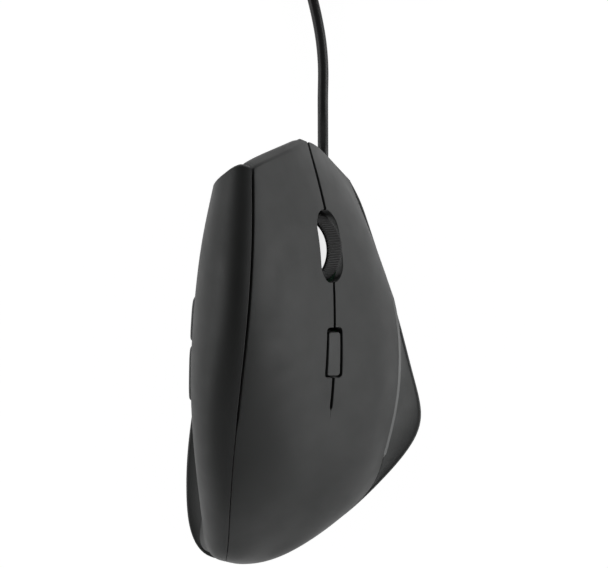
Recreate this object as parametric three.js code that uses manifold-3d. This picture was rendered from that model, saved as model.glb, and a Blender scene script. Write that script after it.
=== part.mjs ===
// A right-handed vertical computer mouse with a cord, in millimetres, +Z up, front towards +Y.
// The origin is on the surface it stands on, below the middle of the mouse without its cord.
import * as THREE from 'three';
import { mergeVertices } from 'three/addons/utils/BufferGeometryUtils.js';
import Module from 'manifold-3d';

const wasm = await Module();
wasm.setup();

// ---------------------------------------------------------------- driving dimensions
const LENGTH = 120.6;          // front of the nose to the rear
const WIDTH = 68;              // across both finger rests
const HEIGHT = 74;             // to the top of the crest

const WALL = 2;                // moulded shells
const SEAM = 0.3;              // gap between neighbouring mouldings
const KEY_TRAVEL = 0.9;        // at the front of a key
const SEAT = 0.3;              // gap between a piece and what carries it
const RIM = 4.6;               // lower edge of the two upper shells at the back
const FLOOR_BOTTOM = 0.7;      // underside of the base
const FLOOR_TOP = 2.4;         // inside face of the base floor
const RUN_CLEARANCE = 0.45;    // between a moving piece and what it moves in

const WHEEL_RADIUS = 10.8;
const WHEEL_WIDTH = 8;
const WHEEL_SHIFT = -0.7;      // across the face, from the middle of the key board
const WHEEL_PROUD = 2;         // how far the tyre stands out of the face
const TYRE_DEPTH = 1.5;
const AXLE_RADIUS = 1.2;
const WHEEL_ROOM = { ends: 2, left: 2.5, right: 1.8 };   // between the wheel and the edge of its slot
const SLOT_END = 3;            // straight part of each end of that slot
const WHEEL_PRESS = 0.5;

const DPI_LENGTH = 12.6;
const DPI_WIDTH = 5.4;
const DPI_GAP = 0.5;
const DPI_PRESS = 0.5;

const THUMB_BUTTON_PROUD = 1.3;
const THUMB_BUTTON_PRESS = 0.5;
const SPARE = 0.15;            // left between a stem and its switch at full press

const BOARD = 1.6;             // circuit board thickness
const SWITCH = { length: 12.8, width: 5.8, height: 6.5 };   // mouse microswitch
const TACT = { side: 6, height: 3.5, stem: 1.7 };           // small push switch
const SKATE_DEPTH = 0.9;
const SCREW = { shank: 1.1, head: 2.1, headDepth: 1.4 };

const CORD_RADIUS = 1.55;
const COIL = { x: -21.5, y: 134.5, radius: 17.75, across: 3, high: 4, slack: 0.25 };
const TIE = 0.5;
const PLUG = {
  width: 15.6, height: 8, length: 19, relief: 8, shellWidth: 12, shellHeight: 4.5, shellLength: 12,
};

// ---------------------------------------------------------------- materials
function plastic(color, roughness) {
  return new THREE.MeshStandardMaterial({ color, roughness, metalness: 0 });
}
function metal(color, roughness) {
  return new THREE.MeshStandardMaterial({ color, roughness, metalness: 1 });
}
const look = {
  shell: plastic(0x3d3f3e, 0.62),
  base: plastic(0x393b3a, 0.68),
  button: plastic(0x3a3c3b, 0.6),
  tyre: plastic(0x161616, 0.8),
  hub: plastic(0xf2f2f0, 0.25),
  frame: plastic(0x1d1e1f, 0.6),
  board: plastic(0x1f5a36, 0.5),
  chip: plastic(0x151515, 0.45),
  white: plastic(0xe6e4da, 0.5),
  clear: plastic(0xd9e2e6, 0.1),
  led: plastic(0xc23b32, 0.2),
  skate: plastic(0x303030, 0.4),
  cord: plastic(0x1b1c1c, 0.55),
  plug: plastic(0x1c1d1d, 0.5),
  tie: plastic(0x101010, 0.7),
  steel: metal(0xb9bcc0, 0.3),
};

// ---------------------------------------------------------------- curves that shape the body
// Each list runs from the back to the front of the mouse. The first nine curves go round the
// upper body from the right-hand lip, over the crest, to the lower left; all of them start from
// one point below the rear rim. They are drawn at a length of 120.6, a width of 68 and a height of 74.
const SHAPE = {
  lip: [[-23, -59, -4], [-16, -59.6, 3.4], [-6.7, -57.6, 4.2], [3.2, -52.5, 4.4], [12.9, -45.5, 4.9],
    [20.3, -37.2, 6.2], [23.6, -27.5, 9.8], [26.1, -16.5, 12.3], [27.4, -5, 13.5], [27, 8, 13.3],
    [24.1, 21.5, 10.5], [19.2, 35.5, 6.8], [13.4, 50.4, 5]],
  lowerFace: [[-23, -59, -4], [-12.6, -59.9, 8.5], [-0.5, -54.3, 12.5], [10.5, -44, 16], [17.8, -28.5, 21.5],
    [20.8, -8, 27], [19.6, 15, 28.5], [16.6, 36.5, 25], [8, 55.4, 19.5]],
  keySplit: [[-23, -59, -4], [-15.5, -60, 12], [-6, -53.5, 18.5], [0.5, -43, 26.5], [5.5, -27, 34.5],
    [8.1, -6.5, 41.5], [8.4, 16, 46], [6.6, 37, 47], [1.1, 59.7, 42]],
  upperFace: [[-23, -59, -4], [-18.9, -59.6, 15], [-13.5, -53, 24.6], [-9.3, -42, 34.5], [-5.5, -26.5, 44.3],
    [-2.6, -6, 54], [-1.6, 15, 60.5], [-2.2, 35.5, 61], [-4.6, 56.6, 56.5]],
  ridge: [[-23, -59, -4], [-22.4, -58.8, 17], [-21.4, -52.5, 28], [-20.5, -41, 39.5], [-19.2, -26, 50.5],
    [-16.9, -6, 63], [-14.7, 14.5, 71], [-13.7, 34, 73], [-13.8, 51.5, 70]],
  crest: [[-23, -59, -4], [-23.4, -58.6, 16.8], [-23.4, -52.3, 27.7], [-23.2, -40.9, 39], [-22.5, -26, 50.4],
    [-20.4, -6, 63.3], [-18.2, 14.5, 71.9], [-17.1, 34, 74], [-16.9, 52.1, 70.6]],
  shoulder: [[-23, -59, -4], [-25, -58.2, 15.8], [-26.1, -51.8, 25.6], [-26.4, -40.5, 36.6], [-26.8, -26, 48],
    [-25.9, -6.5, 60.6], [-24, 14, 68.8], [-22.6, 33, 71.2], [-21.2, 50.3, 68.2]],
  brow: [[-23, -59, -4], [-26.9, -57, 11.5], [-28.6, -50.3, 18.5], [-29.6, -39.5, 26], [-30.5, -25.5, 34],
    [-31, -7, 43.5], [-30, 13.5, 50], [-27.8, 31.5, 54], [-24.6, 47, 57.5]],
  waist: [[-23, -59, -4], [-27.6, -56.8, 7.5], [-29.2, -50.5, 11.5], [-28.2, -40.5, 15.5], [-26.4, -26, 18.5],
    [-24, -7, 20.5], [-22.4, 13.5, 21], [-21, 31.5, 21], [-19.6, 47.3, 20]],
  thumbFoot: [[-23, -59, -4], [-28.6, -57, 3.9], [-30.2, -51.5, 7.2], [-28.7, -41, 10.8], [-28, -26, 11.2],
    [-26, -7, 10.5], [-24, 13.5, 9], [-21.8, 31.5, 7.5], [-20, 47.3, 5.5]],
  rightEdge: [[-23.3, -60, 2.6], [-15.5, -60.4, 2.6], [-6.5, -57.8, 2.7], [3.4, -52.6, 2.8], [13.2, -45.6, 3.2],
    [22, -37.2, 4.2], [29.9, -28, 5], [34, -18.2, 5], [31.8, -6, 5], [28.2, 9, 5], [24.3, 23, 4.4],
    [19.6, 37, 3.4], [13.4, 50.7, 2.8]],
  leftEdge: [[-23.3, -60, 2.6], [-29.3, -57.8, 2.8], [-33, -51, 5], [-34.1, -40.5, 7], [-33.6, -26.5, 7],
    [-31, -8, 6], [-27, 13, 4.8], [-23.4, 31.5, 3.8], [-20.4, 48.3, 3]],
};
const ROUND = ['lip', 'lowerFace', 'keySplit', 'upperFace', 'ridge', 'crest', 'shoulder', 'brow', 'waist',
  'thumbFoot'];
const AT = Object.fromEntries(ROUND.map((name, i) => [name, i]));   // v of each curve

// A natural cubic spline through points at the given knots.
function naturalSpline(points, knots) {
  const n = points.length;
  const gap = knots.slice(1).map((k, i) => k - knots[i]);
  const bend = points.map(() => new THREE.Vector3());
  const upper = new Array(n).fill(0);
  for (let i = 1; i < n - 1; i++) {
    const rise = points[i + 1].clone().sub(points[i]).divideScalar(gap[i])
      .sub(points[i].clone().sub(points[i - 1]).divideScalar(gap[i - 1])).multiplyScalar(6);
    const pivot = 2 * (gap[i - 1] + gap[i]) - gap[i - 1] * upper[i - 1];
    upper[i] = gap[i] / pivot;
    bend[i].copy(rise.addScaledVector(bend[i - 1], -gap[i - 1]).divideScalar(pivot));
  }
  for (let i = n - 2; i > 0; i--) bend[i].addScaledVector(bend[i + 1], -upper[i]);
  return (i, f) => {
    const h = gap[i];
    const g = 1 - f;
    return points[i].clone().multiplyScalar(g).addScaledVector(points[i + 1], f)
      .addScaledVector(bend[i], (g * g * g - g) * h * h / 6)
      .addScaledVector(bend[i + 1], (f * f * f - f) * h * h / 6);
  };
}
function alongCurve(name) {
  const points = SHAPE[name].map(([x, y, z]) =>
    new THREE.Vector3(x * WIDTH / 68, y * LENGTH / 120.6, z * HEIGHT / 74));
  const last = points.length - 1;
  const curve = naturalSpline(points, points.map((_, i) => i));
  return (u) => {
    const i = Math.min(Math.floor(u * last), last - 1);
    return curve(i, u * last - i);
  };
}
const curves = Object.fromEntries(Object.keys(SHAPE).map((name) => [name, alongCurve(name)]));

// The outer skin at u (0 back, 1 front) and v (0 right lip, 9 lower left).
const sections = new Map();
function section(u) {
  if (!sections.has(u)) {
    const points = ROUND.map((name) => curves[name](u));
    const knots = [0];
    for (let i = 1; i < points.length; i++) {
      knots.push(knots[i - 1] + Math.max(0.3, points[i].distanceTo(points[i - 1])) ** 0.7);
    }
    sections.set(u, naturalSpline(points, knots));
  }
  return sections.get(u);
}
function skin(u, v) {
  const i = Math.min(Math.max(Math.floor(v), 0), ROUND.length - 2);
  return section(u)(i, v - i);
}
function skinNormal(u, v) {
  const step = 0.004;
  const along = skin(u + step, v).sub(skin(Math.max(u - step, 0), v));
  const round = skin(u, Math.min(v + step, ROUND.length - 1)).sub(skin(u, Math.max(v - step, 0)));
  return round.cross(along).normalize().negate();
}
function offSkin(u, v, distance) {
  return skin(u, v).addScaledVector(skinNormal(u, v), distance);
}
// The frame that stands on the skin: X across (rising v reversed), Y towards the front, Z outwards.
function skinFrame(u, v, shift = 0) {
  const out = skinNormal(u, v);
  const forward = skin(Math.min(u + 0.02, 1), v).sub(skin(u - 0.02, v));
  forward.addScaledVector(out, -forward.dot(out)).normalize();
  const across = forward.clone().cross(out);
  return new THREE.Matrix4().makeBasis(across, forward, out)
    .setPosition(skin(u, v).addScaledVector(across, shift));
}
// The v that lies the given distance round from a curve.
function vBeside(u, v, distance) {
  const step = 0.01;
  const speed = skin(u, v + step).distanceTo(skin(u, v)) / step;
  return v + distance / Math.max(speed, 2);
}
function solveU(test, low, high) {
  for (let i = 0; i < 30; i++) {
    const middle = (low + high) / 2;
    if (test(middle) < 0) low = middle;
    else high = middle;
  }
  return (low + high) / 2;
}
const rimU = (v) => solveU((u) => skin(u, v).z - RIM * HEIGHT / 74, 0, 0.12);
const uAtY = (v, y) => solveU((u) => skin(u, v).y - y * LENGTH / 120.6, 0.1, 0.999);

// ---------------------------------------------------------------- solids
function toSolid(geometry) {
  const bare = geometry.clone();
  bare.deleteAttribute('normal');
  bare.deleteAttribute('uv');
  const merged = mergeVertices(bare, 1e-4);
  const triVerts = [];
  const index = merged.index.array;
  for (let i = 0; i < index.length; i += 3) {
    const [a, b, c] = [index[i], index[i + 1], index[i + 2]];
    if (a !== b && b !== c && c !== a) triVerts.push(a, b, c);
  }
  return new wasm.Manifold(new wasm.Mesh({
    numProp: 3,
    vertProperties: new Float32Array(merged.attributes.position.array),
    triVerts: new Uint32Array(triVerts),
  }));
}
function toGeometry(solid) {
  const mesh = solid.getMesh();
  const geometry = new THREE.BufferGeometry();
  geometry.setAttribute('position', new THREE.BufferAttribute(mesh.vertProperties, 3));
  geometry.setIndex(new THREE.BufferAttribute(mesh.triVerts, 1));
  geometry.computeVertexNormals();
  return geometry;
}
const placed = (geometry, matrix) => toSolid(geometry.clone().applyMatrix4(matrix));

// A closed solid from rings of equal length, each ring a loop of points.
function loft(rings) {
  const n = rings[0].length;
  const points = rings.flat();
  const triangles = [];
  for (let r = 0; r + 1 < rings.length; r++) {
    for (let i = 0; i < n; i++) {
      const a = r * n + i;
      const b = r * n + (i + 1) % n;
      triangles.push(a, b, b + n, a, b + n, a + n);
    }
  }
  for (const [ring, flip] of [[0, true], [rings.length - 1, false]]) {
    const centre = rings[ring].reduce((sum, p) => sum.add(p), new THREE.Vector3()).divideScalar(n);
    const c = points.push(centre) - 1;
    for (let i = 0; i < n; i++) {
      const a = ring * n + i;
      const b = ring * n + (i + 1) % n;
      triangles.push(...(flip ? [b, a, c] : [a, b, c]));
    }
  }
  return fromTriangles(points, triangles);
}
function fromTriangles(points, triangles) {
  const geometry = new THREE.BufferGeometry();
  const numbers = points.flatMap((p) => [p.x, p.y, p.z]);
  geometry.setAttribute('position', new THREE.Float32BufferAttribute(numbers, 3));
  geometry.setIndex(triangles);
  const solid = toSolid(geometry);
  if (solid.volume() > 0) return solid;
  geometry.setIndex(triangles.map((_, i) => triangles[i - i % 3 + 2 - i % 3]));
  return toSolid(geometry);
}
// A thick piece of the skin between two u borders and two v borders; high and low are its two faces
// above the skin, and beyond moves one more row past the last.
function patch({ uFrom, uTo, vFrom, vTo, rows, columns, high = 0, low = -WALL, beyond }) {
  const grid = [];
  const tip = [];
  for (let i = 0; i <= rows; i++) {
    const row = [];
    for (let j = 0; j <= columns; j++) {
      const t = j / columns;
      const guess = vFrom(0.5) + (vTo(0.5) - vFrom(0.5)) * t;
      const u = uFrom(guess) + (uTo(guess) - uFrom(guess)) * i / rows;
      const v = vFrom(u) + (vTo(u) - vFrom(u)) * t;
      row.push([offSkin(u, v, high), offSkin(u, v, low)]);
      if (beyond && i === rows) tip.push(row[j].map((p) => p.clone().add(beyond(v))));
    }
    grid.push(row);
  }
  if (beyond) rows = grid.push(tip) - 1;
  const points = grid.flatMap((row) => row.flat());
  const id = (i, j, side) => (i * (columns + 1) + j) * 2 + side;
  const triangles = [];
  const quad = (a, b, c, d) => triangles.push(a, b, c, a, c, d);
  for (let i = 0; i < rows; i++) {
    for (let j = 0; j < columns; j++) {
      quad(id(i, j, 0), id(i, j + 1, 0), id(i + 1, j + 1, 0), id(i + 1, j, 0));
      quad(id(i, j, 1), id(i + 1, j, 1), id(i + 1, j + 1, 1), id(i, j + 1, 1));
    }
    quad(id(i, 0, 0), id(i + 1, 0, 0), id(i + 1, 0, 1), id(i, 0, 1));
    quad(id(i + 1, columns, 0), id(i, columns, 0), id(i, columns, 1), id(i + 1, columns, 1));
  }
  for (let j = 0; j < columns; j++) {
    quad(id(0, j + 1, 0), id(0, j, 0), id(0, j, 1), id(0, j + 1, 1));
    quad(id(rows, j, 0), id(rows, j + 1, 0), id(rows, j + 1, 1), id(rows, j, 1));
  }
  return fromTriangles(points, triangles);
}
const box = (x0, x1, y0, y1, z0, z1) =>
  new THREE.BoxGeometry(x1 - x0, y1 - y0, z1 - z0).translate((x0 + x1) / 2, (y0 + y1) / 2, (z0 + z1) / 2);
// A round solid on the Z axis from [radius, height] pairs, lowest first.
function turned(profile, segments = 20) {
  const points = profile.map(([r, z]) => new THREE.Vector2(r, z));
  return new THREE.LatheGeometry(points, segments).rotateX(Math.PI / 2);
}
const rod = (radius, z0, z1, segments = 20) =>
  turned([[0, z0], [radius, z0], [radius, z1], [0, z1]], segments);
function roundedPlate(length, width, corner, z0, z1, curveSegments = 4) {
  const shape = new THREE.Shape();
  const [x, y] = [length / 2, width / 2];
  shape.moveTo(-x + corner, -y).lineTo(x - corner, -y).absarc(x - corner, -y + corner, corner, -Math.PI / 2, 0)
    .lineTo(x, y - corner).absarc(x - corner, y - corner, corner, 0, Math.PI / 2)
    .lineTo(-x + corner, y).absarc(-x + corner, y - corner, corner, Math.PI / 2, Math.PI)
    .lineTo(-x, -y + corner).absarc(-x + corner, -y + corner, corner, Math.PI, 1.5 * Math.PI);
  return new THREE.ExtrudeGeometry(shape, { depth: z1 - z0, bevelEnabled: false, curveSegments })
    .translate(0, 0, z0);
}
const still = new THREE.Matrix4();
const at = (x, y, z) => new THREE.Matrix4().makeTranslation(x, y, z);

const mouse = new THREE.Group();
function add(name, shape, material, frame = still) {
  const geometry = shape.isBufferGeometry ? shape : toGeometry(shape);
  const mesh = new THREE.Mesh(geometry, material);
  mesh.name = name;
  mesh.applyMatrix4(frame);
  mouse.add(mesh);
}

// ---------------------------------------------------------------- places on the body
const half = SEAM / 2;
const uWheel = uAtY(AT.keySplit, 31);
const uDpi = uAtY(AT.keySplit, 1.2);
const uFlex = uAtY(AT.keySplit, -17);
const gapU = half / 150;
const face = skinFrame(uWheel, AT.keySplit, 0.8);
const dpi = skinFrame(uDpi, AT.keySplit);
const thumbRows = { low: 6.9, high: 7.18 };
const thumb = skinFrame(uAtY(7, 4.5), (thumbRows.low + thumbRows.high) / 2);
const thumbY = thumb.elements[13];   // where it stands along the mouse
const wheelHeight = WHEEL_PROUD - WHEEL_RADIUS;   // of the axle, from the skin

// ---------------------------------------------------------------- upper shells and keys
const outside = (vFrom, vTo, low = -0.6) => patch({
  uFrom: () => 0.06, uTo: () => 1, vFrom: () => vFrom, vTo: () => vTo, rows: 22, columns: 14,
  high: 12, low,
});
const rightOutside = outside(0.05, AT.ridge);
const leftOutside = outside(AT.ridge, 8.9);
const seatOf = (x, y) => at(x * WIDTH / 68, y * LENGTH / 120.6, 0);
const SCREWS = { palm: [-6, -38], palmSide: [17, -22], thumb: [-21.5, -24] };
const BOSS = { radius: 3, top: 5.4 };
function column(place, height, beyond) {
  const frame = seatOf(...place);
  return placed(rod(BOSS.radius, BOSS.top + SEAT, height, 16), frame).subtract(beyond)
    .subtract(placed(rod(SCREW.shank + SEAT, 0, 12, 12), frame));
}

// How long the wheel is at the inside of the wall.
const wheelChord = 2 * Math.sqrt(WHEEL_RADIUS ** 2 - (WHEEL_RADIUS - WHEEL_PROUD - WALL) ** 2);
const SLOT = {
  x: WHEEL_SHIFT + (WHEEL_ROOM.right - WHEEL_ROOM.left) / 2,
  width: WHEEL_WIDTH + WHEEL_ROOM.left + WHEEL_ROOM.right,
  length: wheelChord + 2 * WHEEL_ROOM.ends,
};
const slotPlate = roundedPlate(SLOT.width, SLOT.length, (SLOT.width - SLOT_END) / 2, -8, 8, 8);
const slot = placed(slotPlate.translate(SLOT.x, 0, 0), face);
const dpiWindow = placed(roundedPlate(DPI_WIDTH + 2 * DPI_GAP, DPI_LENGTH + 2 * DPI_GAP, 1.6, -6, 5), dpi);

const palm = patch({
  uFrom: rimU, uTo: () => uFlex - gapU, vFrom: () => 0, vTo: (u) => vBeside(u, AT.ridge, -half),
  rows: 18, columns: 18,
});
const palmColumns = column(SCREWS.palm, 36, rightOutside).add(column(SCREWS.palmSide, 28, rightOutside));
add('palm_shell', palm.add(palmColumns), look.shell);

const boardTop = -7 - SWITCH.height;   // of the key board, from the skin at the wheel
const KEY_SWITCH = { across: 8.4, forward: -17, post: 3 };
function keyPost(side) {
  const x = side * KEY_SWITCH.across;
  const y = KEY_SWITCH.forward + 3;
  const r = KEY_SWITCH.post / 2;
  const post = box(x - r, x + r, y - r, y + r, boardTop + SWITCH.height + 1.3, 4);
  return placed(post, face).subtract(rightOutside);
}
// The left key ends in one flat across the nose, with a bevel below it that runs out at the split.
const nose = { from: curves.ridge(1), to: curves.keySplit(1) };
const noseSlope = (nose.to.y - nose.from.y) / (nose.to.x - nose.from.x);
const uNose = (v) => solveU((u) => {
  const p = skin(u, v);
  return p.y - nose.from.y - noseSlope * (p.x - nose.from.x);
}, 0.9, 1.03);
const bevel = (v) => {
  const share = Math.min(1, Math.max(0, (v - AT.keySplit) / 0.3));
  const corner = Math.max(0, v - AT.upperFace);      // it sweeps towards the thumb side at the ridge
  return new THREE.Vector3(-0.95 - 1.1 * corner, 1.9 - 0.5 * corner, -4.5).multiplyScalar(share);
};
const keyFrom = () => uFlex + gapU;
const leftKey = patch({
  uFrom: keyFrom, uTo: uNose, vFrom: (u) => vBeside(u, AT.keySplit, half),
  vTo: (u) => vBeside(u, AT.ridge, -half), rows: 16, columns: 10, beyond: bevel,
});
const rightKey = patch({
  uFrom: keyFrom, uTo: () => 1, vFrom: () => 0, vTo: (u) => vBeside(u, AT.keySplit, -half),
  rows: 16, columns: 10,
});
add('left_key', leftKey.add(keyPost(-1)).subtract(slot).subtract(dpiWindow), look.shell);
add('right_key', rightKey.add(keyPost(1)).subtract(slot).subtract(dpiWindow), look.shell);

// ---------------------------------------------------------------- thumb side
// The ends of each button, forwards of the middle of the pair.
const BUTTONS = { forward_button: [12.6, 0.7], back_button: [-0.7, -15.8] };
const uBeyondThumb = (v, y) => solveU((u) => skin(u, v).y - thumbY - y, 0.1, 0.999);
function buttonPatch([front, back], grow, high, low) {
  const vLow = vBeside(0.72, thumbRows.low, -grow);
  const vHigh = vBeside(0.72, thumbRows.high, grow);
  return patch({
    uFrom: (v) => uBeyondThumb(v, back - grow), uTo: (v) => uBeyondThumb(v, front + grow),
    vFrom: () => vLow, vTo: () => vHigh,
    rows: 6, columns: 5, high, low,
  });
}
let thumbShell = patch({
  uFrom: rimU, uTo: () => 1, vFrom: (u) => vBeside(u, AT.ridge, half), vTo: () => ROUND.length - 1,
  rows: 24, columns: 20,
});
thumbShell = thumbShell.add(column(SCREWS.thumb, 30, leftOutside));
// The board behind the buttons hangs on two posts, which stand past the ends of the button windows.
const THUMB_POST = { half: 1.6, clear: 0.5 };
const farthest = Math.max(...Object.values(BUTTONS).flat().map(Math.abs)) + RUN_CLEARANCE;
const postY = farthest / thumb.elements[5] + THUMB_POST.clear + THUMB_POST.half;
const THUMB_BOARD = { across: 11, length: 2 * (postY + THUMB_POST.half + 0.4), top: -8.1 };
for (const y of [-postY, postY]) {
  const r = THUMB_POST.half;
  thumbShell = thumbShell.add(placed(box(-2, 2, y - r, y + r, THUMB_BOARD.top + SEAT, 4), thumb)
    .subtract(leftOutside));
}
for (const [name, span] of Object.entries(BUTTONS)) {
  thumbShell = thumbShell.subtract(buttonPatch(span, RUN_CLEARANCE, 4, -4));
  const middle = (span[0] + span[1]) / 2;
  const stem = placed(box(-1, 1, middle - 1, middle + 1, THUMB_BOARD.top + TACT.height + TACT.stem
    + THUMB_BUTTON_PRESS + SPARE, 0), thumb).subtract(leftOutside);
  add(name, buttonPatch(span, 0, THUMB_BUTTON_PROUD, -1.8).add(stem), look.button);
}
add('thumb_shell', thumbShell, look.shell);

// ---------------------------------------------------------------- base
function resample(points, count) {
  const path = new THREE.CurvePath();
  for (let i = 1; i < points.length; i++) path.add(new THREE.LineCurve3(points[i - 1], points[i]));
  return path.getSpacedPoints(count).slice(0, count);
}
const steps = (n) => Array.from({ length: n + 1 }, (_, i) => i / n);
const edgeRight = steps(48).map((t) => curves.rightEdge(t));
const edgeLeft = steps(48).map((t) => curves.leftEdge(1 - t));
const footDrop = (u, v) => skin(u, v).add(new THREE.Vector3(0, 0, -WALL * skinNormal(u, v).z - SEAM - 0.3));
const footRight = steps(16).map((t) => footDrop(rimU(AT.ridge * (1 - t)), AT.ridge * (1 - t)))
  .concat(steps(40).slice(1).map((t) => footDrop(rimU(0) + (1 - rimU(0)) * t, 0)));
const footLeft = steps(40).map((t) => footDrop(1 - (1 - rimU(9)) * t, 9))
  .concat(steps(16).slice(1).map((t) => footDrop(rimU(9 - 5 * t), 9 - 5 * t)));
const BULGE = 2.2;   // of the front edge of the base
function frontRow(a, b) {
  return steps(8).map((t) => a.clone().lerp(b, t).add(new THREE.Vector3(0, BULGE * 4 * t * (1 - t), 0)));
}
function loop(right, left) {
  const front = frontRow(right.at(-1), left[0]);
  return [...resample(right, 44), ...resample(front, 8), ...resample(left, 36)];
}
const edgeLoop = loop(edgeRight, edgeLeft);
const footLoop = loop(footRight, footLeft);
function inward(ring, distance, z) {
  return ring.map((p, i) => {
    const a = ring.at(i - 1);
    const b = ring[(i + 1) % ring.length];
    const normal = new THREE.Vector3(a.y - b.y, b.x - a.x, 0).normalize();
    return new THREE.Vector3(p.x + normal.x * distance, p.y + normal.y * distance, z ?? p.z);
  });
}
let base = loft([
  inward(edgeLoop, 1.8, FLOOR_BOTTOM), inward(edgeLoop, 0.4, FLOOR_BOTTOM + 0.9), edgeLoop, footLoop,
  inward(footLoop, 3), inward(footLoop, 3.2, FLOOR_TOP)]);
// The main board and all on it are placed from the sensor.
const sensor = seatOf(0, 6);
const onSensor = (x, y, z = 0) => sensor.clone().multiply(at(x, y, z));
const MAIN = { x0: -14, x1: 14, y0: -25, y1: 31, z: 5.2 };
const MAIN_SCREWS = [[-10.5, -21.5], [10.5, 27.5]].map(([x, y]) => onSensor(x, y));
const boss = (frame, radius, top) => placed(rod(radius, FLOOR_TOP - 0.6, top, 16), frame);
const bore = (frame, radius, z0, z1) => placed(rod(radius, z0, z1, 16), frame);
const BASE_SCREWS = Object.values(SCREWS).map((place) => seatOf(...place));
for (const spot of BASE_SCREWS) {
  base = base.add(boss(spot, BOSS.radius + 0.6, BOSS.top));
  base = base.subtract(bore(spot, SCREW.head + SEAT, -1, 2.7)).subtract(bore(spot, SCREW.shank + SEAT, 0, 9));
}
for (const spot of MAIN_SCREWS) {
  base = base.add(boss(spot, 2.4, MAIN.z - SEAT)).subtract(bore(spot, SCREW.shank + SEAT, 1.5, 9));
}
base = base.subtract(placed(roundedPlate(15, 11, 2, -1, 6), sensor));
const SKATES = {
  front_skate: { place: [-2, 42.5], length: 24, width: 5.5, turn: -0.06 },
  rear_skate: { place: [-12, -49], length: 24, width: 6.5, turn: 0.12 },
  side_skate: { place: [25.5, -14], length: 16, width: 5.5, turn: 1.4 },
};
for (const [name, { place, length, width, turn }] of Object.entries(SKATES)) {
  const frame = seatOf(...place).multiply(new THREE.Matrix4().makeRotationZ(turn));
  const pocket = roundedPlate(length + 2 * SEAT, width + 2 * SEAT, 2.4, -1, SKATE_DEPTH + SEAT);
  base = base.subtract(placed(pocket, frame));
  add(name, roundedPlate(length, width, 2.2, 0, SKATE_DEPTH), look.skate, frame);
}

// ---------------------------------------------------------------- front panel and cord outlet
const EXIT = { x: 5.5, y: 50.5, z: 7.6, neck: 2.5 };
const panelRow = (h) => {
  const right = offSkin(1, h * 3.9, -WALL - KEY_TRAVEL - 0.5);
  const left = offSkin(1, 8.95 - h * 3.6, -WALL - 0.6);
  const middle = right.clone().lerp(left, 0.45).add(new THREE.Vector3(0, 0.8, 0));
  const row = [right, middle, left].map((p) => p.add(new THREE.Vector3(0, -1.4, 0)));
  return row.concat(row.toReversed().map((p) => p.clone().add(new THREE.Vector3(0, -1.8, 0))));
};
const exitFrame = seatOf(EXIT.x, EXIT.y).multiply(at(0, 0, EXIT.z * HEIGHT / 74))
  .multiply(new THREE.Matrix4().makeRotationX(-Math.PI / 2));
const exitHole = placed(rod(EXIT.neck + 0.35, -7, 12, 20), exitFrame);
add('front_panel', loft(steps(12).map((t) => panelRow(0.04 + 0.9 * t))).subtract(exitHole), look.base);
add('base_shell', base.subtract(exitHole), look.base);
const RELIEF_END = 6.2;
add('strain_relief', turned([[0, -5.5], [3.4, -5.5], [3.4, -4.3], [EXIT.neck, -4.3], [EXIT.neck, 1.5],
  [CORD_RADIUS + 0.35, RELIEF_END - 0.4], [CORD_RADIUS + 0.05, RELIEF_END], [0, RELIEF_END]]),
look.cord, exitFrame);

// ---------------------------------------------------------------- wheel
const wheelMiddle = face.clone().multiply(at(WHEEL_SHIFT, 0, 0));
const wheel = wheelMiddle.clone().multiply(at(0, 0, wheelHeight))
  .multiply(new THREE.Matrix4().makeRotationY(Math.PI / 2));
const w = WHEEL_WIDTH / 2;
const tyreInside = WHEEL_RADIUS - TYRE_DEPTH + SEAT;
const hub = { inside: AXLE_RADIUS + 0.1, outside: WHEEL_RADIUS - TYRE_DEPTH, half: w - 0.3 };
add('wheel_hub', turned([[hub.inside, -hub.half], [hub.outside, -hub.half], [hub.outside, hub.half],
  [hub.inside, hub.half], [hub.inside, -hub.half]], 40), look.hub, wheel);
add('wheel_tyre', turned([[tyreInside, -w], [WHEEL_RADIUS - 0.5, -w], [WHEEL_RADIUS, -w + 0.7],
  [WHEEL_RADIUS, w - 0.7], [WHEEL_RADIUS - 0.5, w], [tyreInside, w], [tyreInside, -w]], 40), look.tyre, wheel);
const armInside = w + 0.9;
const armOutside = armInside + 1.6;
add('wheel_axle', rod(AXLE_RADIUS, -armOutside + 0.1, armOutside - 0.1), look.steel, wheel);
const cradleBottom = wheelHeight - WHEEL_RADIUS - 2.6;
const EAR = {
  from: armOutside - 0.2, to: armOutside + 5.2, thick: 1.5,
  under: boardTop + TACT.height + TACT.stem + WHEEL_PRESS + SPARE,
};
const armTop = Math.max(wheelHeight + 2.8, EAR.under + EAR.thick);
let cradle = toSolid(box(-armOutside, armOutside, -4.5, 4.5, cradleBottom, cradleBottom + 1.6));
for (const side of [-1, 1]) {
  const x = [side * armInside, side * armOutside].sort((a, b) => a - b);
  cradle = cradle.add(toSolid(box(...x, -4.5, 4.5, cradleBottom, armTop)));
}
cradle = cradle.add(toSolid(box(EAR.from, EAR.to, -2.5, 2.5, EAR.under, EAR.under + EAR.thick)))
  .subtract(placed(rod(AXLE_RADIUS + 0.1, -20, 20), at(0, 0, wheelHeight)
    .multiply(new THREE.Matrix4().makeRotationY(Math.PI / 2))));
add('wheel_cradle', cradle, look.frame, wheelMiddle);

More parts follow.
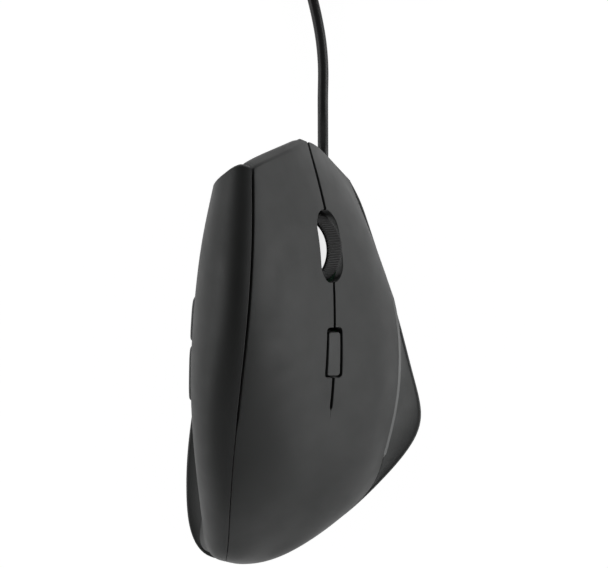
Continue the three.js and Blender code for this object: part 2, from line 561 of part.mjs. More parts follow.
// ---------------------------------------------------------------- key board, frame and switches
// The board is open round the cradle and the wheel.
const wheelAtBoard = Math.sqrt(WHEEL_RADIUS ** 2 - (wheelHeight - boardTop) ** 2);
const KEYBOARD = { side: 15, back: -36, front: 14, cut: armOutside + 1.2, cutBack: -wheelAtBoard - 2.1 };
const POSTS = [[-12.5, -33], [12.5, -33], [-12.5, 11], [12.5, 11]];
const plateTop = cradleBottom - WHEEL_PRESS - 0.6;
const keyBoard = new THREE.Shape([[-KEYBOARD.side, KEYBOARD.back], [KEYBOARD.side, KEYBOARD.back],
  [KEYBOARD.side, KEYBOARD.front], [KEYBOARD.cut, KEYBOARD.front], [KEYBOARD.cut, KEYBOARD.cutBack],
  [-KEYBOARD.cut, KEYBOARD.cutBack], [-KEYBOARD.cut, KEYBOARD.front], [-KEYBOARD.side, KEYBOARD.front]]
  .map(([x, y]) => new THREE.Vector2(x, y)));
add('key_board', toSolid(new THREE.ExtrudeGeometry(keyBoard, { depth: BOARD, bevelEnabled: false })
  .translate(0, 0, boardTop - BOARD))
  .subtract(placed(rod(SCREW.shank + SEAT, -30, 0, 12), at(POSTS[0][0], POSTS[0][1], 0)))
  .subtract(placed(rod(SCREW.shank + SEAT, -30, 0, 12), at(POSTS[3][0], POSTS[3][1], 0))), look.board, face);
const plate = { x: KEYBOARD.side, z0: plateTop - 1.8, z1: plateTop };
let frame = toSolid(box(-plate.x, plate.x, KEYBOARD.back, KEYBOARD.front, plate.z0, plate.z1));
for (const [x, y] of POSTS) {
  frame = frame.add(placed(rod(2.2, plateTop - 1, boardTop - BOARD - SEAT, 16), at(x, y, 0)));
  frame = frame.subtract(placed(rod(SCREW.shank + SEAT, boardTop - BOARD - 5, 0, 12), at(x, y, 0)));
}
frame = frame.transform(face.elements).subtract(outside(AT.ridge, 8.9, -WALL - SEAT));
const LEGS = [[-12.5, -8.5, 33, 35.5], [-17.4, -14.6, -8, -1]];   // round the main board, from the sensor
const underPlate = placed(box(-40, 40, -60, 40, plateTop - 0.9, 40), face);
for (const [x0, x1, y0, y1] of LEGS) {
  frame = frame.add(placed(box(x0, x1, y0, y1, FLOOR_TOP + SEAT, 60), sensor).subtract(underPlate));
}

// A flat cable bows from its connector up to the lower edge of the key board.
const boardZ = MAIN.z + BOARD;
const RIBBON = { width: 8, thick: 0.6, y: sensor.elements[13] + 19 };
const boardEdge = new THREE.Vector3(KEYBOARD.side + 0.9, 0, boardTop - BOARD / 2).applyMatrix4(face);
const ribbonPath = new THREE.CatmullRomCurve3([[-6, boardZ + 0.1 + 3 + SEAT], [-6.2, 14.5 * HEIGHT / 74],
  [-1.5, 19.5 * HEIGHT / 74], [boardEdge.x, boardEdge.z]].map(([x, z]) => new THREE.Vector3(x, RIBBON.y, z)));
function ribbon(grow) {
  return loft(steps(12).map((t) => {
    const p = ribbonPath.getPoint(t);
    const d = ribbonPath.getTangent(t);
    const side = new THREE.Vector3(d.z, 0, -d.x).multiplyScalar(RIBBON.thick / 2 + grow);
    const wide = new THREE.Vector3(0, RIBBON.width / 2 + grow, 0);
    return [p.clone().sub(side).sub(wide), p.clone().add(side).sub(wide), p.clone().add(side).add(wide),
      p.clone().sub(side).add(wide)];
  }));
}
// The frame keeps clear of the cable and of the thumb board.
const [tb, tl] = [THUMB_BOARD.across / 2, THUMB_BOARD.length / 2];
const thumbRoom = placed(box(-tb - SEAT, tb + SEAT, -tl - SEAT, tl + SEAT, THUMB_BOARD.top - BOARD - SEAT,
  THUMB_BOARD.top + SEAT), thumb);
add('inner_frame', frame.subtract(ribbon(SEAT)).subtract(thumbRoom), look.frame);

function microswitch(name, x, y, frameOf) {
  const [l, b] = [SWITCH.length / 2, SWITCH.width / 2];
  const floor = boardTop + 0.1;
  add(name, toSolid(box(x - b, x + b, y - l, y + l, floor, boardTop + SWITCH.height))
    .subtract(toSolid(box(x - 1.1, x + 1.1, y + 1.7, y + 4.3, boardTop + SWITCH.height - 2, 9))), look.chip, frameOf);
  add(`${name}_plunger`, box(x - 0.75, x + 0.75, y + 2.05, y + 3.95, boardTop + SWITCH.height - 1.6,
    boardTop + SWITCH.height + 0.9), look.white, frameOf);
}
microswitch('left_switch', -KEY_SWITCH.across, KEY_SWITCH.forward, face);
microswitch('right_switch', KEY_SWITCH.across, KEY_SWITCH.forward, face);
function tact(name, x, y, top, frameOf, width = TACT.side) {
  const r = TACT.side / 2;
  add(name, toSolid(box(x - width / 2, x + width / 2, y - r, y + r, top + 0.1, top + TACT.height))
    .add(placed(rod(1.1, top + TACT.height - 1, top + TACT.height + TACT.stem, 12), at(x, y, 0))), look.chip, frameOf);
}
tact('wheel_switch', EAR.to - 2.6 + WHEEL_SHIFT, 0, boardTop, face, 4.4);
const encoderSide = WHEEL_SHIFT - armOutside - 0.6;
add('scroll_encoder', box(-KEYBOARD.side + 3.4, encoderSide, -5, 5, boardTop + 0.1, wheelHeight + 3),
  look.chip, face);
for (const [i, post] of [[1, POSTS[0]], [2, POSTS[3]]]) {
  add(`key_board_screw_${i}`, turned([[0, boardTop - 5], [SCREW.shank, boardTop - 5], [SCREW.shank, boardTop + 0.2],
    [SCREW.head, boardTop + 0.2], [SCREW.head, boardTop + 1.2], [0, boardTop + 1.4]], 16), look.steel,
  face.clone().multiply(at(post[0], post[1], 0)));
}

// ---------------------------------------------------------------- resolution button
const dpiInFace = new THREE.Vector3().setFromMatrixPosition(dpi).applyMatrix4(face.clone().invert());
tact('dpi_switch', dpiInFace.x, dpiInFace.y, boardTop, face);
const DPI_DEPTH = 3;
const dpiCap = placed(roundedPlate(DPI_WIDTH, DPI_LENGTH, 1.1, -DPI_DEPTH, 0.25), dpi);
const stemTop = boardTop + TACT.height + TACT.stem + DPI_PRESS + SPARE;
const dpiStem = placed(box(dpiInFace.x - 1, dpiInFace.x + 1, dpiInFace.y - 1, dpiInFace.y + 1, stemTop,
  dpiInFace.z - 2), face);
add('dpi_button', dpiCap.add(dpiStem), look.button);

// ---------------------------------------------------------------- thumb board
add('thumb_board', box(-tb, tb, -tl, tl, THUMB_BOARD.top - BOARD, THUMB_BOARD.top), look.board, thumb);
for (const [name, span] of Object.entries(BUTTONS)) {
  tact(name.replace('button', 'switch'), 0, (span[0] + span[1]) / 2, THUMB_BOARD.top, thumb);
}

// ---------------------------------------------------------------- main board
let mainBoard = toSolid(box(MAIN.x0, MAIN.x1, MAIN.y0, MAIN.y1, MAIN.z, boardZ))
  .subtract(toSolid(roundedPlate(9, 8, 1, 0, 9))).transform(sensor.elements);
for (const spot of MAIN_SCREWS) mainBoard = mainBoard.subtract(bore(spot, SCREW.shank + SEAT, 0, 9));
add('main_board', mainBoard, look.board);
MAIN_SCREWS.forEach((spot, i) => {
  add(`main_board_screw_${i + 1}`, turned([[0, 2], [SCREW.shank, 2], [SCREW.shank, boardZ + 0.2],
    [SCREW.head, boardZ + 0.2], [SCREW.head, boardZ + 1.2], [0, boardZ + 1.4]], 16), look.steel, spot);
});
BASE_SCREWS.forEach((spot, i) => {
  add(`base_screw_${i + 1}`, turned([[0, 1], [SCREW.head, 1], [SCREW.head, 1 + SCREW.headDepth],
    [SCREW.shank, 1 + SCREW.headDepth], [SCREW.shank, 10], [0, 11]], 16), look.steel, spot);
});
const onBoard = (x, y) => onSensor(x, y, boardZ + 0.1);
add('optical_sensor', box(-6, 6, -5, 5, 0, 2.6), look.chip, onBoard(0, 0));
add('sensor_led', turned([[0, 0], [2.5, 0], [2.5, 3], [2.1, 4.2], [1.2, 5], [0, 5.3]], 16), look.led, onBoard(0, 11));
add('controller_chip', box(-4.5, 4.5, -4.5, 4.5, 0, 1.4), look.chip, onBoard(-5, -14));
add('capacitor', rod(2.5, 0, 6), look.chip, onBoard(8, -13));
add('cord_connector', box(-5, 5, -2.4, 2.4, 0, 5), look.white, onBoard(3, 27));
add('ribbon_connector', box(-6, 6, -2, 2, 0, 3), look.white, onBoard(-6, 19));
add('sensor_lens', toSolid(roundedPlate(14, 10, 1.6, FLOOR_BOTTOM + 0.5, FLOOR_TOP + 0.4))
  .add(toSolid(roundedPlate(7, 6, 1, FLOOR_TOP, MAIN.z + 1))), look.clear, sensor);

add('ribbon_cable', ribbon(0), look.cord);

// ---------------------------------------------------------------- cord, coil, tie and plug
const lastTurn = COIL.radius + (COIL.across - 1) * CORD_RADIUS;
const floorLevel = CORD_RADIUS + 0.05;
const exitY = EXIT.y * LENGTH / 120.6 + RELIEF_END;
// Chosen by hand: straight out under the nose, down to the desk and away to the coil.
const cordRoute = [
  [5.5, exitY + 0.3, 7.6], [5.5, exitY + 3, 7.1], [5.5, 64, 5.2], [5.5, 69, 3], [5.5, 75, 1.75],
  [5.6, 82, floorLevel], [5.4, 87, floorLevel], [4.8, 92.5, floorLevel], [3.7, 98.5, floorLevel],
  [2.3, 104.5, floorLevel], [1, 110, floorLevel], [0.1, 115.5, floorLevel + 0.2], [-0.3, 122.5, 2.4]];
function tube(route, radius, count) {
  const path = new THREE.CatmullRomCurve3(route.map((p) => new THREE.Vector3(...p)));
  const section8 = new THREE.Shape(steps(8).slice(1).map((t) =>
    new THREE.Vector2(radius * Math.cos(2 * Math.PI * t), radius * Math.sin(2 * Math.PI * t))));
  return new THREE.ExtrudeGeometry(section8, { extrudePath: path, steps: count, bevelEnabled: false });
}
add('cord_run', tube(cordRoute, CORD_RADIUS, 16), look.cord);
const coilFoot = TIE + SEAT;
const bundle = { wide: COIL.across * CORD_RADIUS + COIL.slack / 2, tall: 2 * COIL.high * CORD_RADIUS + COIL.slack };
const coilTop = coilFoot + bundle.tall;
const coilAt = at(COIL.x, COIL.y, 0);
const [inner, outer] = [COIL.radius - bundle.wide, COIL.radius + bundle.wide];
const soft = 0.8;
add('cord_coil', turned([[inner + soft, coilFoot], [outer - soft, coilFoot], [outer, coilFoot + soft],
  [outer, coilTop - soft], [outer - soft, coilTop], [inner + soft, coilTop], [inner, coilTop - soft],
  [inner, coilFoot + soft], [inner + soft, coilFoot]], 40), look.cord, coilAt);

const TIE_WIDTH = 7;
const tieGap = SEAT + TIE_WIDTH ** 2 / (8 * outer);
const loopOf = (x0, x1, z0, z1) =>
  [[x0, z0], [x1, z0], [x1, z1], [x0, z1]].map(([x, z]) => new THREE.Vector2(x, z));
const band = new THREE.Shape(loopOf(inner - tieGap - TIE, outer + tieGap + TIE, 0, coilTop + SEAT + TIE));
band.holes.push(new THREE.Path(loopOf(inner - tieGap, outer + tieGap, TIE, coilTop + SEAT)));
add('cord_tie', new THREE.ExtrudeGeometry(band, { depth: TIE_WIDTH, bevelEnabled: false })
  .translate(0, 0, -TIE_WIDTH / 2).rotateX(Math.PI / 2), look.tie,
coilAt.clone().multiply(new THREE.Matrix4().makeRotationZ(2.3)));

const plugX = 15;
const plugY = COIL.y - lastTurn;
const plugZ = PLUG.height / 2;
const topTurn = coilTop - CORD_RADIUS;
const tailRoute = [[-9, plugY, topTurn - 0.7], [-5, plugY, topTurn - 2.4], [-1, plugY, 7.4], [4, plugY, 5.2],
  [9, plugY, 4.1], [plugX - SEAT, plugY, plugZ]];
add('cord_tail', tube(tailRoute, CORD_RADIUS, 6), look.cord);
const plugFrame = at(plugX, plugY, plugZ).multiply(new THREE.Matrix4().makeBasis(new THREE.Vector3(0, 1, 0),
  new THREE.Vector3(0, 0, 1), new THREE.Vector3(1, 0, 0)));
const overmould = toSolid(roundedPlate(PLUG.width, PLUG.height, 2, PLUG.relief, PLUG.relief + PLUG.length))
  .add(toSolid(turned([[0, 0], [CORD_RADIUS + 0.5, 0], [CORD_RADIUS + 1.6, PLUG.relief + 0.5],
    [0, PLUG.relief + 0.5]])));
add('plug_body', overmould, look.plug, plugFrame);
const mouth = PLUG.relief + PLUG.length + SEAT;
const tongueFoot = 1.5;
const sheet = 0.4;
add('plug_shell', toSolid(roundedPlate(PLUG.shellWidth, PLUG.shellHeight, 0.5, mouth, mouth + PLUG.shellLength))
  .subtract(toSolid(roundedPlate(PLUG.shellWidth - 2 * sheet, PLUG.shellHeight - 2 * sheet, 0.3, mouth + tongueFoot,
    mouth + 20))), look.steel, plugFrame);
const tongue = { x: PLUG.shellWidth / 2 - sheet - SEAT, low: -PLUG.shellHeight / 2 + sheet + SEAT, thick: 1.5 };
add('plug_tongue', box(-tongue.x, tongue.x, tongue.low, tongue.low + tongue.thick, mouth + tongueFoot + SEAT,
  mouth + PLUG.shellLength - 0.6), look.white, plugFrame);

export default mouse;
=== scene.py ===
"""The looks of a right-handed vertical computer mouse with a cord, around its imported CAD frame.

Sizes and places are in millimetres, in the frame's axes, and become metres where a mesh is made.
"""

import math

import bmesh
import bpy
import numpy as np
from mathutils import Matrix, Vector, kdtree


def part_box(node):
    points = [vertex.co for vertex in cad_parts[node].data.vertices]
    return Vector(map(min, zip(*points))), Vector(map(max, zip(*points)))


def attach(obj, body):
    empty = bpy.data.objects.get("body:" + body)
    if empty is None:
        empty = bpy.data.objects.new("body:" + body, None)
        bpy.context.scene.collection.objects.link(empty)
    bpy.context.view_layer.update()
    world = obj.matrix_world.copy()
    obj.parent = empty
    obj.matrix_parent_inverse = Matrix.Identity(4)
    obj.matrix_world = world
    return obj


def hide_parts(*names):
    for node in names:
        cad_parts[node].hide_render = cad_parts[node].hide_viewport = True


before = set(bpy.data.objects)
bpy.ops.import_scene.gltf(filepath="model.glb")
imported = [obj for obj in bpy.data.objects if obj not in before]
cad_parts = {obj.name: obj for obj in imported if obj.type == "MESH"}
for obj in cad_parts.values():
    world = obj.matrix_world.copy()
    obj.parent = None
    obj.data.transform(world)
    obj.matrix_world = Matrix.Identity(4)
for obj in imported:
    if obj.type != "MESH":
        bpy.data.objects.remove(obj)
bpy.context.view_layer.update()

MM = 0.001

# ------------------------------------------------------------------ sizes shared with the CAD
WALL = 2.0                 # moulded shells
SEAM = 0.3                 # gap between neighbouring mouldings
HALF = SEAM / 2
RIM = 4.6                  # lower edge of the upper shells at the back
FLOOR_BOTTOM = 0.7
FLOOR_TOP = 2.4
KEY_TRAVEL = 0.9
WHEEL_RADIUS = 10.8
WHEEL_WIDTH = 8.0
WHEEL_SHIFT = -0.7         # across the face, from the middle of the key board
WHEEL_PROUD = 2.0
TYRE_DEPTH = 1.5
AXLE_RADIUS = 1.2
WHEEL_SLOT = (11.8, 20.2)  # across and along
SLOT_MIDDLE = -0.85
DPI_CAP = (5.4, 12.4)
BUTTON_GAP = 0.45
BUTTON_PROUD = 0.8
CORD_RADIUS = 1.55
COIL = {"x": -21.5, "y": 134.5, "radius": 17.75, "across": 3, "high": 4, "foot": 0.8}
TIE = {"thick": 0.5, "width": 7.0, "angle": 2.3}
EXIT = {"x": 5.5, "y": 50.5, "z": 7.6, "neck": 2.5, "end": 6.2}
PLUG = {"x": 15.0, "z": 4.0, "width": 15.6, "height": 8.0, "length": 19.0, "relief": 8.0,
        "shell_width": 12.0, "shell_height": 4.5, "shell_length": 12.0}

# Curves that shape the body, from the back to the front. The first ten go round the upper body from
# the right-hand lip, over the crest, to the lower left, and start from one point below the rear rim.
SHAPE = {
    "lip": [(-23, -59, -4), (-16, -59.6, 3.4), (-6.7, -57.6, 4.2), (3.2, -52.5, 4.4), (12.9, -45.5, 4.9),
            (20.3, -37.2, 6.2), (23.6, -27.5, 9.8), (26.1, -16.5, 12.3), (27.4, -5, 13.5), (27, 8, 13.3),
            (24.1, 21.5, 10.5), (19.2, 35.5, 6.8), (13.4, 50.4, 5)],
    "lower_face": [(-23, -59, -4), (-12.6, -59.9, 8.5), (-0.5, -54.3, 12.5), (10.5, -44, 16),
                   (17.8, -28.5, 21.5), (20.8, -8, 27), (19.6, 15, 28.5), (16.6, 36.5, 25), (8, 55.4, 19.5)],
    "key_split": [(-23, -59, -4), (-15.5, -60, 12), (-6, -53.5, 18.5), (0.5, -43, 26.5), (5.5, -27, 34.5),
                  (8.1, -6.5, 41.5), (8.4, 16, 46), (6.6, 37, 47), (1.1, 59.7, 42)],
    "upper_face": [(-23, -59, -4), (-18.9, -59.6, 15), (-13.5, -53, 24.6), (-9.3, -42, 34.5),
                   (-5.5, -26.5, 44.3), (-2.6, -6, 54), (-1.6, 15, 60.5), (-2.2, 35.5, 61),
                   (-4.6, 56.6, 56.5)],
    "ridge": [(-23, -59, -4), (-22.4, -58.8, 17), (-21.4, -52.5, 28), (-20.5, -41, 39.5), (-19.2, -26, 50.5),
              (-16.9, -6, 63), (-14.7, 14.5, 71), (-13.7, 34, 73), (-13.8, 51.5, 70)],
    "crest": [(-23, -59, -4), (-23.4, -58.6, 16.8), (-23.4, -52.3, 27.7), (-23.2, -40.9, 39),
              (-22.5, -26, 50.4), (-20.4, -6, 63.3), (-18.2, 14.5, 71.9), (-17.1, 34, 74),
              (-16.9, 52.1, 70.6)],
    "shoulder": [(-23, -59, -4), (-25, -58.2, 15.8), (-26.1, -51.8, 25.6), (-26.4, -40.5, 36.6),
                 (-26.8, -26, 48), (-25.9, -6.5, 60.6), (-24, 14, 68.8), (-22.6, 33, 71.2),
                 (-21.2, 50.3, 68.2)],
    "brow": [(-23, -59, -4), (-26.9, -57, 11.5), (-28.6, -50.3, 18.5), (-29.6, -39.5, 26), (-30.5, -25.5, 34),
             (-31, -7, 43.5), (-30, 13.5, 50), (-27.8, 31.5, 54), (-24.6, 47, 57.5)],
    "waist": [(-23, -59, -4), (-27.6, -56.8, 7.5), (-29.2, -50.5, 11.5), (-28.2, -40.5, 15.5),
              (-26.4, -26, 18.5), (-24, -7, 20.5), (-22.4, 13.5, 21), (-21, 31.5, 21), (-19.6, 47.3, 20)],
    "thumb_foot": [(-23, -59, -4), (-28.6, -57, 3.9), (-30.2, -51.5, 7.2), (-28.7, -41, 10.8),
                   (-28, -26, 11.2), (-26, -7, 10.5), (-24, 13.5, 9), (-21.8, 31.5, 7.5), (-20, 47.3, 5.5)],
    "right_edge": [(-23.3, -60, 2.6), (-15.5, -60.4, 2.6), (-6.5, -57.8, 2.7), (3.4, -52.6, 2.8),
                   (13.2, -45.6, 3.2), (22, -37.2, 4.2), (29.9, -28, 5), (34, -18.2, 5), (31.8, -6, 5),
                   (27.9, 9, 5), (23.7, 23, 4.4), (19.4, 36.2, 3.4), (16.4, 44.7, 3.1), (13.3, 50.8, 2.8)],
    "left_edge": [(-23.3, -60, 2.6), (-29.3, -57.8, 2.8), (-33, -51, 5), (-34.1, -40.5, 7),
                  (-33.6, -26.5, 7), (-31, -8, 6), (-27, 13, 4.8), (-23.4, 31.5, 3.8), (-20.4, 48.3, 3)],
}
ROUND = [name for name in SHAPE if not name.endswith("_edge")]
KEY_SPLIT, RIDGE, LAST = 2.0, 4.0, len(ROUND) - 1.0


# ------------------------------------------------------------------ the skin
def unit(a):
    return a / np.linalg.norm(a, axis=-1, keepdims=True)


def bends(points, gaps):
    """Second derivatives of natural cubic splines through points (..., n, 3) at these knot gaps."""
    bend = np.zeros(points.shape)
    upper = np.zeros(points.shape[:-1])
    for i in range(1, points.shape[-2] - 1):
        before, after = gaps[..., i - 1], gaps[..., i]
        rise = 6 * ((points[..., i + 1, :] - points[..., i, :]) / after[..., None]
                    - (points[..., i, :] - points[..., i - 1, :]) / before[..., None])
        pivot = 2 * (before + after) - before * upper[..., i - 1]
        upper[..., i] = after / pivot
        bend[..., i, :] = (rise - before[..., None] * bend[..., i - 1, :]) / pivot[..., None]
    for i in range(points.shape[-2] - 2, 0, -1):
        bend[..., i, :] -= upper[..., i, None] * bend[..., i + 1, :]
    return bend


def on_spline(a, b, bend_a, bend_b, gap, f):
    """The point a share f of the way from a to b."""
    g = 1 - f
    return a * g + b * f + (bend_a * (g ** 3 - g) + bend_b * (f ** 3 - f)) * gap ** 2 / 6


def spline(points):
    points = np.array(points, float)
    return points, bends(points, np.ones(len(points) - 1))


CURVES = {name: spline(points) for name, points in SHAPE.items()}


def along(name, u):
    """Points of a guide curve at u, from 0 at the back to 1 at the front."""
    points, bend = CURVES[name]
    last = len(points) - 1
    i = np.clip(np.floor(u * last).astype(int), 0, last - 1)
    return on_spline(points[i], points[i + 1], bend[i], bend[i + 1], 1.0, (u * last - i)[..., None])


def skin(u, v):
    """Points of the outer skin, with v from 0 at the right lip to 9 at the lower left."""
    u, v = np.broadcast_arrays(np.asarray(u, float), np.asarray(v, float))
    rows = np.stack([along(name, u) for name in ROUND], axis=-2)
    gaps = np.maximum(0.3, np.linalg.norm(np.diff(rows, axis=-2), axis=-1)) ** 0.7
    bend = bends(rows, gaps)
    i = np.clip(np.floor(v).astype(int), 0, len(ROUND) - 2)

    def pick(table, k):
        return np.take_along_axis(table, k[..., None, None], axis=-2)[..., 0, :]
    gap = np.take_along_axis(gaps, i[..., None], axis=-1)
    share = (v - i)[..., None]
    return on_spline(pick(rows, i), pick(rows, i + 1), pick(bend, i), pick(bend, i + 1), gap, share)


STEP = 0.004               # of u and v, over which a slope is taken


def skin_ways(u, v):
    """How the skin runs towards the front and round, in mm for each unit of u and v."""
    u, v = np.broadcast_arrays(np.asarray(u, float), np.asarray(v, float))
    front, back = u + STEP, np.maximum(u - STEP, 0)
    up, down = np.minimum(v + STEP, LAST), np.maximum(v - STEP, 0)
    return ((skin(front, v) - skin(back, v)) / (front - back)[..., None],
            (skin(u, up) - skin(u, down)) / (up - down)[..., None])


def skin_normal(u, v):
    forward, round_ = skin_ways(u, v)
    return unit(np.cross(forward, round_))


def beside(u, v, distance):
    """The v that lies a distance round from a curve of the skin."""
    u = np.asarray(u, float)
    speed = np.linalg.norm(skin(u, v + 0.01) - skin(u, np.full(u.shape, v)), axis=-1) / 0.01
    return v + distance / np.maximum(speed, 2)


def solve_u(test, low, high):
    """The u where test turns from below zero to above it, for each place."""
    for _ in range(30):
        middle = (low + high) / 2
        below = test(middle) < 0
        low, high = np.where(below, middle, low), np.where(below, high, middle)
    return (low + high) / 2


def rim_u(v):
    """The u at which the upper shells end at the back."""
    v = np.asarray(v, float)
    return solve_u(lambda u: skin(u, v)[..., 2] - RIM, np.zeros(v.shape), np.full(v.shape, 0.12))


def u_at_y(v, y):
    return float(solve_u(lambda u: skin(u, v)[..., 1] - y, np.array(0.1), np.array(0.999)))


class Place:
    """A frame that stands on the skin: x across, y towards the front, z outwards. An outline laid on it
    leans towards the front by shear for each mm across."""

    def __init__(self, u, v, shift=0.0, shear=0.0):
        self.u, self.v = u, v
        self.z = skin_normal(u, v)
        forward = skin(min(u + 0.02, 1), v) - skin(u - 0.02, v)
        self.y = unit(forward - self.z * (forward @ self.z))
        self.x = np.cross(self.y, self.z)
        self.origin = skin(u, v) + self.x * shift
        self.shear = shear

    def world(self, x, y, z):
        """Points given in this frame."""
        x, y, z = np.broadcast_arrays(x, y, z)
        return self.origin + x[..., None] * self.x + y[..., None] * self.y + z[..., None] * self.z

    def on_skin(self, x, y):
        """The skin above the points x, y of this frame."""
        u, v = np.full(x.shape, self.u), np.full(x.shape, self.v)
        for _ in range(8):
            off = skin(u, v) - self.origin
            miss_x, miss_y = off @ self.x - x, off @ self.y - y
            forward, round_ = skin_ways(u, v)
            a, b, c, d = forward @ self.x, round_ @ self.x, forward @ self.y, round_ @ self.y
            turn = a * d - b * c
            u = np.clip(u - (d * miss_x - b * miss_y) / turn, 0.01, 1)
            v = np.clip(v - (a * miss_y - c * miss_x) / turn, 0, LAST)
        return skin(u, v)

    def matrix(self):
        """This frame as a Blender matrix, in metres."""
        m = Matrix(np.column_stack([self.x, self.y, self.z]).tolist()).to_4x4()
        m.translation = Vector(self.origin * MM)
        return m


# ------------------------------------------------------------------ materials
def set_inputs(node, values):
    """Sets inputs of a shader node."""
    for name, value in values.items():
        node.inputs[name].default_value = value


def add_node(tree, kind, values):
    """A new shader node with these inputs."""
    node = tree.nodes.new(kind)
    set_inputs(node, values)
    return node


def new_material(name, colour, roughness, metallic=0.0):
    """A material with a plain shader, its node tree and that shader."""
    material = bpy.data.materials.new(name)
    material.use_nodes = True
    tree = material.node_tree
    shader = tree.nodes["Principled BSDF"]
    set_inputs(shader, {"Base Color": (*colour, 1), "Roughness": roughness, "Metallic": metallic})
    material.diffuse_color = (*colour, 1)
    return material, tree, shader


def noise(tree, scale, detail, stretch=None):
    """A noise texture in the object's own space."""
    where = tree.nodes.new("ShaderNodeTexCoord")
    out = where.outputs["Object"]
    if stretch:
        mapping = add_node(tree, "ShaderNodeMapping", {"Scale": stretch})
        tree.links.new(out, mapping.inputs["Vector"])
        out = mapping.outputs["Vector"]
    node = add_node(tree, "ShaderNodeTexNoise", {"Scale": scale, "Detail": detail})
    tree.links.new(out, node.inputs["Vector"])
    return node.outputs["Fac"]


NOISE_LOW, NOISE_HIGH = 0.3, 0.7        # most of a noise texture lies between these


def spread(tree, factor, low, high):
    """Turns a noise texture into values between low and high."""
    node = add_node(tree, "ShaderNodeMapRange",
                    {"From Min": NOISE_LOW, "From Max": NOISE_HIGH, "To Min": low, "To Max": high})
    tree.links.new(factor, node.inputs["Value"])
    return node.outputs["Result"]


def tint(tree, shader, factor, dark, light):
    """Colours the shader between two colours."""
    mix = tree.nodes.new("ShaderNodeMix")
    mix.data_type = "RGBA"
    set_inputs(mix, {6: (*dark, 1), 7: (*light, 1)})
    tree.links.new(factor, mix.inputs["Factor"])
    tree.links.new(mix.outputs[2], shader.inputs["Base Color"])


def bump(tree, shader, height, distance, strength=1.0):
    """Adds a bump of this depth, in metres, to the shader."""
    node = add_node(tree, "ShaderNodeBump", {"Strength": strength, "Distance": distance})
    tree.links.new(height, node.inputs["Height"])
    tree.links.new(node.outputs["Normal"], shader.inputs["Normal"])


def moulded(name, colour, roughness, grain=2600.0, depth=0.00002, variation=0.07):
    """Moulded plastic: a fine grain, and colour and roughness that vary slightly over the piece."""
    material, tree, shader = new_material(name, colour, roughness)
    colour = np.array(colour)
    broad = spread(tree, noise(tree, 55, 4), 0, 1)
    tint(tree, shader, broad, colour * (1 - variation), colour * (1 + variation))
    uneven = spread(tree, noise(tree, 130, 5), roughness - 0.05, roughness + 0.05)
    tree.links.new(uneven, shader.inputs["Roughness"])
    bump(tree, shader, noise(tree, grain, 2), depth)
    return material


def soft_touch():
    """The dark grey shells: a rubbery paint that is dark head-on and lighter at a glancing angle."""
    material = moulded("soft_touch_grey", (0.038, 0.04, 0.0392), 0.5, 3000, 0.000016, 0.05)
    set_inputs(material.node_tree.nodes["Principled BSDF"],
               {"Specular IOR Level": 0.42, "Sheen Weight": 0.3, "Sheen Roughness": 0.4})
    return material


def metal(name, colour, roughness):
    """Sheet metal, brushed along its Y axis."""
    material, tree, shader = new_material(name, colour, roughness, 1.0)
    brushed = noise(tree, 900, 3, (1, 0.05, 1))
    tree.links.new(spread(tree, brushed, roughness - 0.08, roughness + 0.1), shader.inputs["Roughness"])
    bump(tree, shader, brushed, 0.000004)
    return material


def clear(name, colour, roughness=0.06):
    """Clear moulded plastic."""
    material, tree, shader = new_material(name, colour, roughness)
    set_inputs(shader, {"Transmission Weight": 0.85, "IOR": 1.49})
    uneven = spread(tree, noise(tree, 300, 2), roughness * 0.7, roughness * 1.6)
    tree.links.new(uneven, shader.inputs["Roughness"])
    return material


def board_green():
    """Solder mask over copper runs."""
    material, tree, shader = new_material("board_green", (0.02, 0.12, 0.05), 0.35)
    where = tree.nodes.new("ShaderNodeTexCoord")
    runs = add_node(tree, "ShaderNodeTexBrick", {
        "Scale": 300, "Color1": (0.022, 0.13, 0.055, 1), "Color2": (0.03, 0.17, 0.07, 1),
        "Mortar": (0.012, 0.08, 0.03, 1)})
    tree.links.new(where.outputs["Object"], runs.inputs["Vector"])
    tree.links.new(runs.outputs["Color"], shader.inputs["Base Color"])
    bump(tree, shader, runs.outputs["Fac"], 0.00003, 0.5)
    return material


def painted_glow_white():
    """The hub: glossy milky white plastic with an emission that paints a glow on it, so that it reads white
    in its shaded slot.
    """
    roughness = 0.22
    material, tree, shader = new_material("hub_white", (0.85, 0.85, 0.84), roughness)
    # Emission Color and Strength: painted glow, light that no lamp casts on the hub.
    set_inputs(shader, {"Coat Weight": 0.5, "Coat Roughness": 0.08,
                        "Emission Color": (1, 1, 1, 1), "Emission Strength": 0.8})
    uneven = spread(tree, noise(tree, 200, 3), roughness * 0.8, roughness * 1.3)
    tree.links.new(uneven, shader.inputs["Roughness"])
    return material


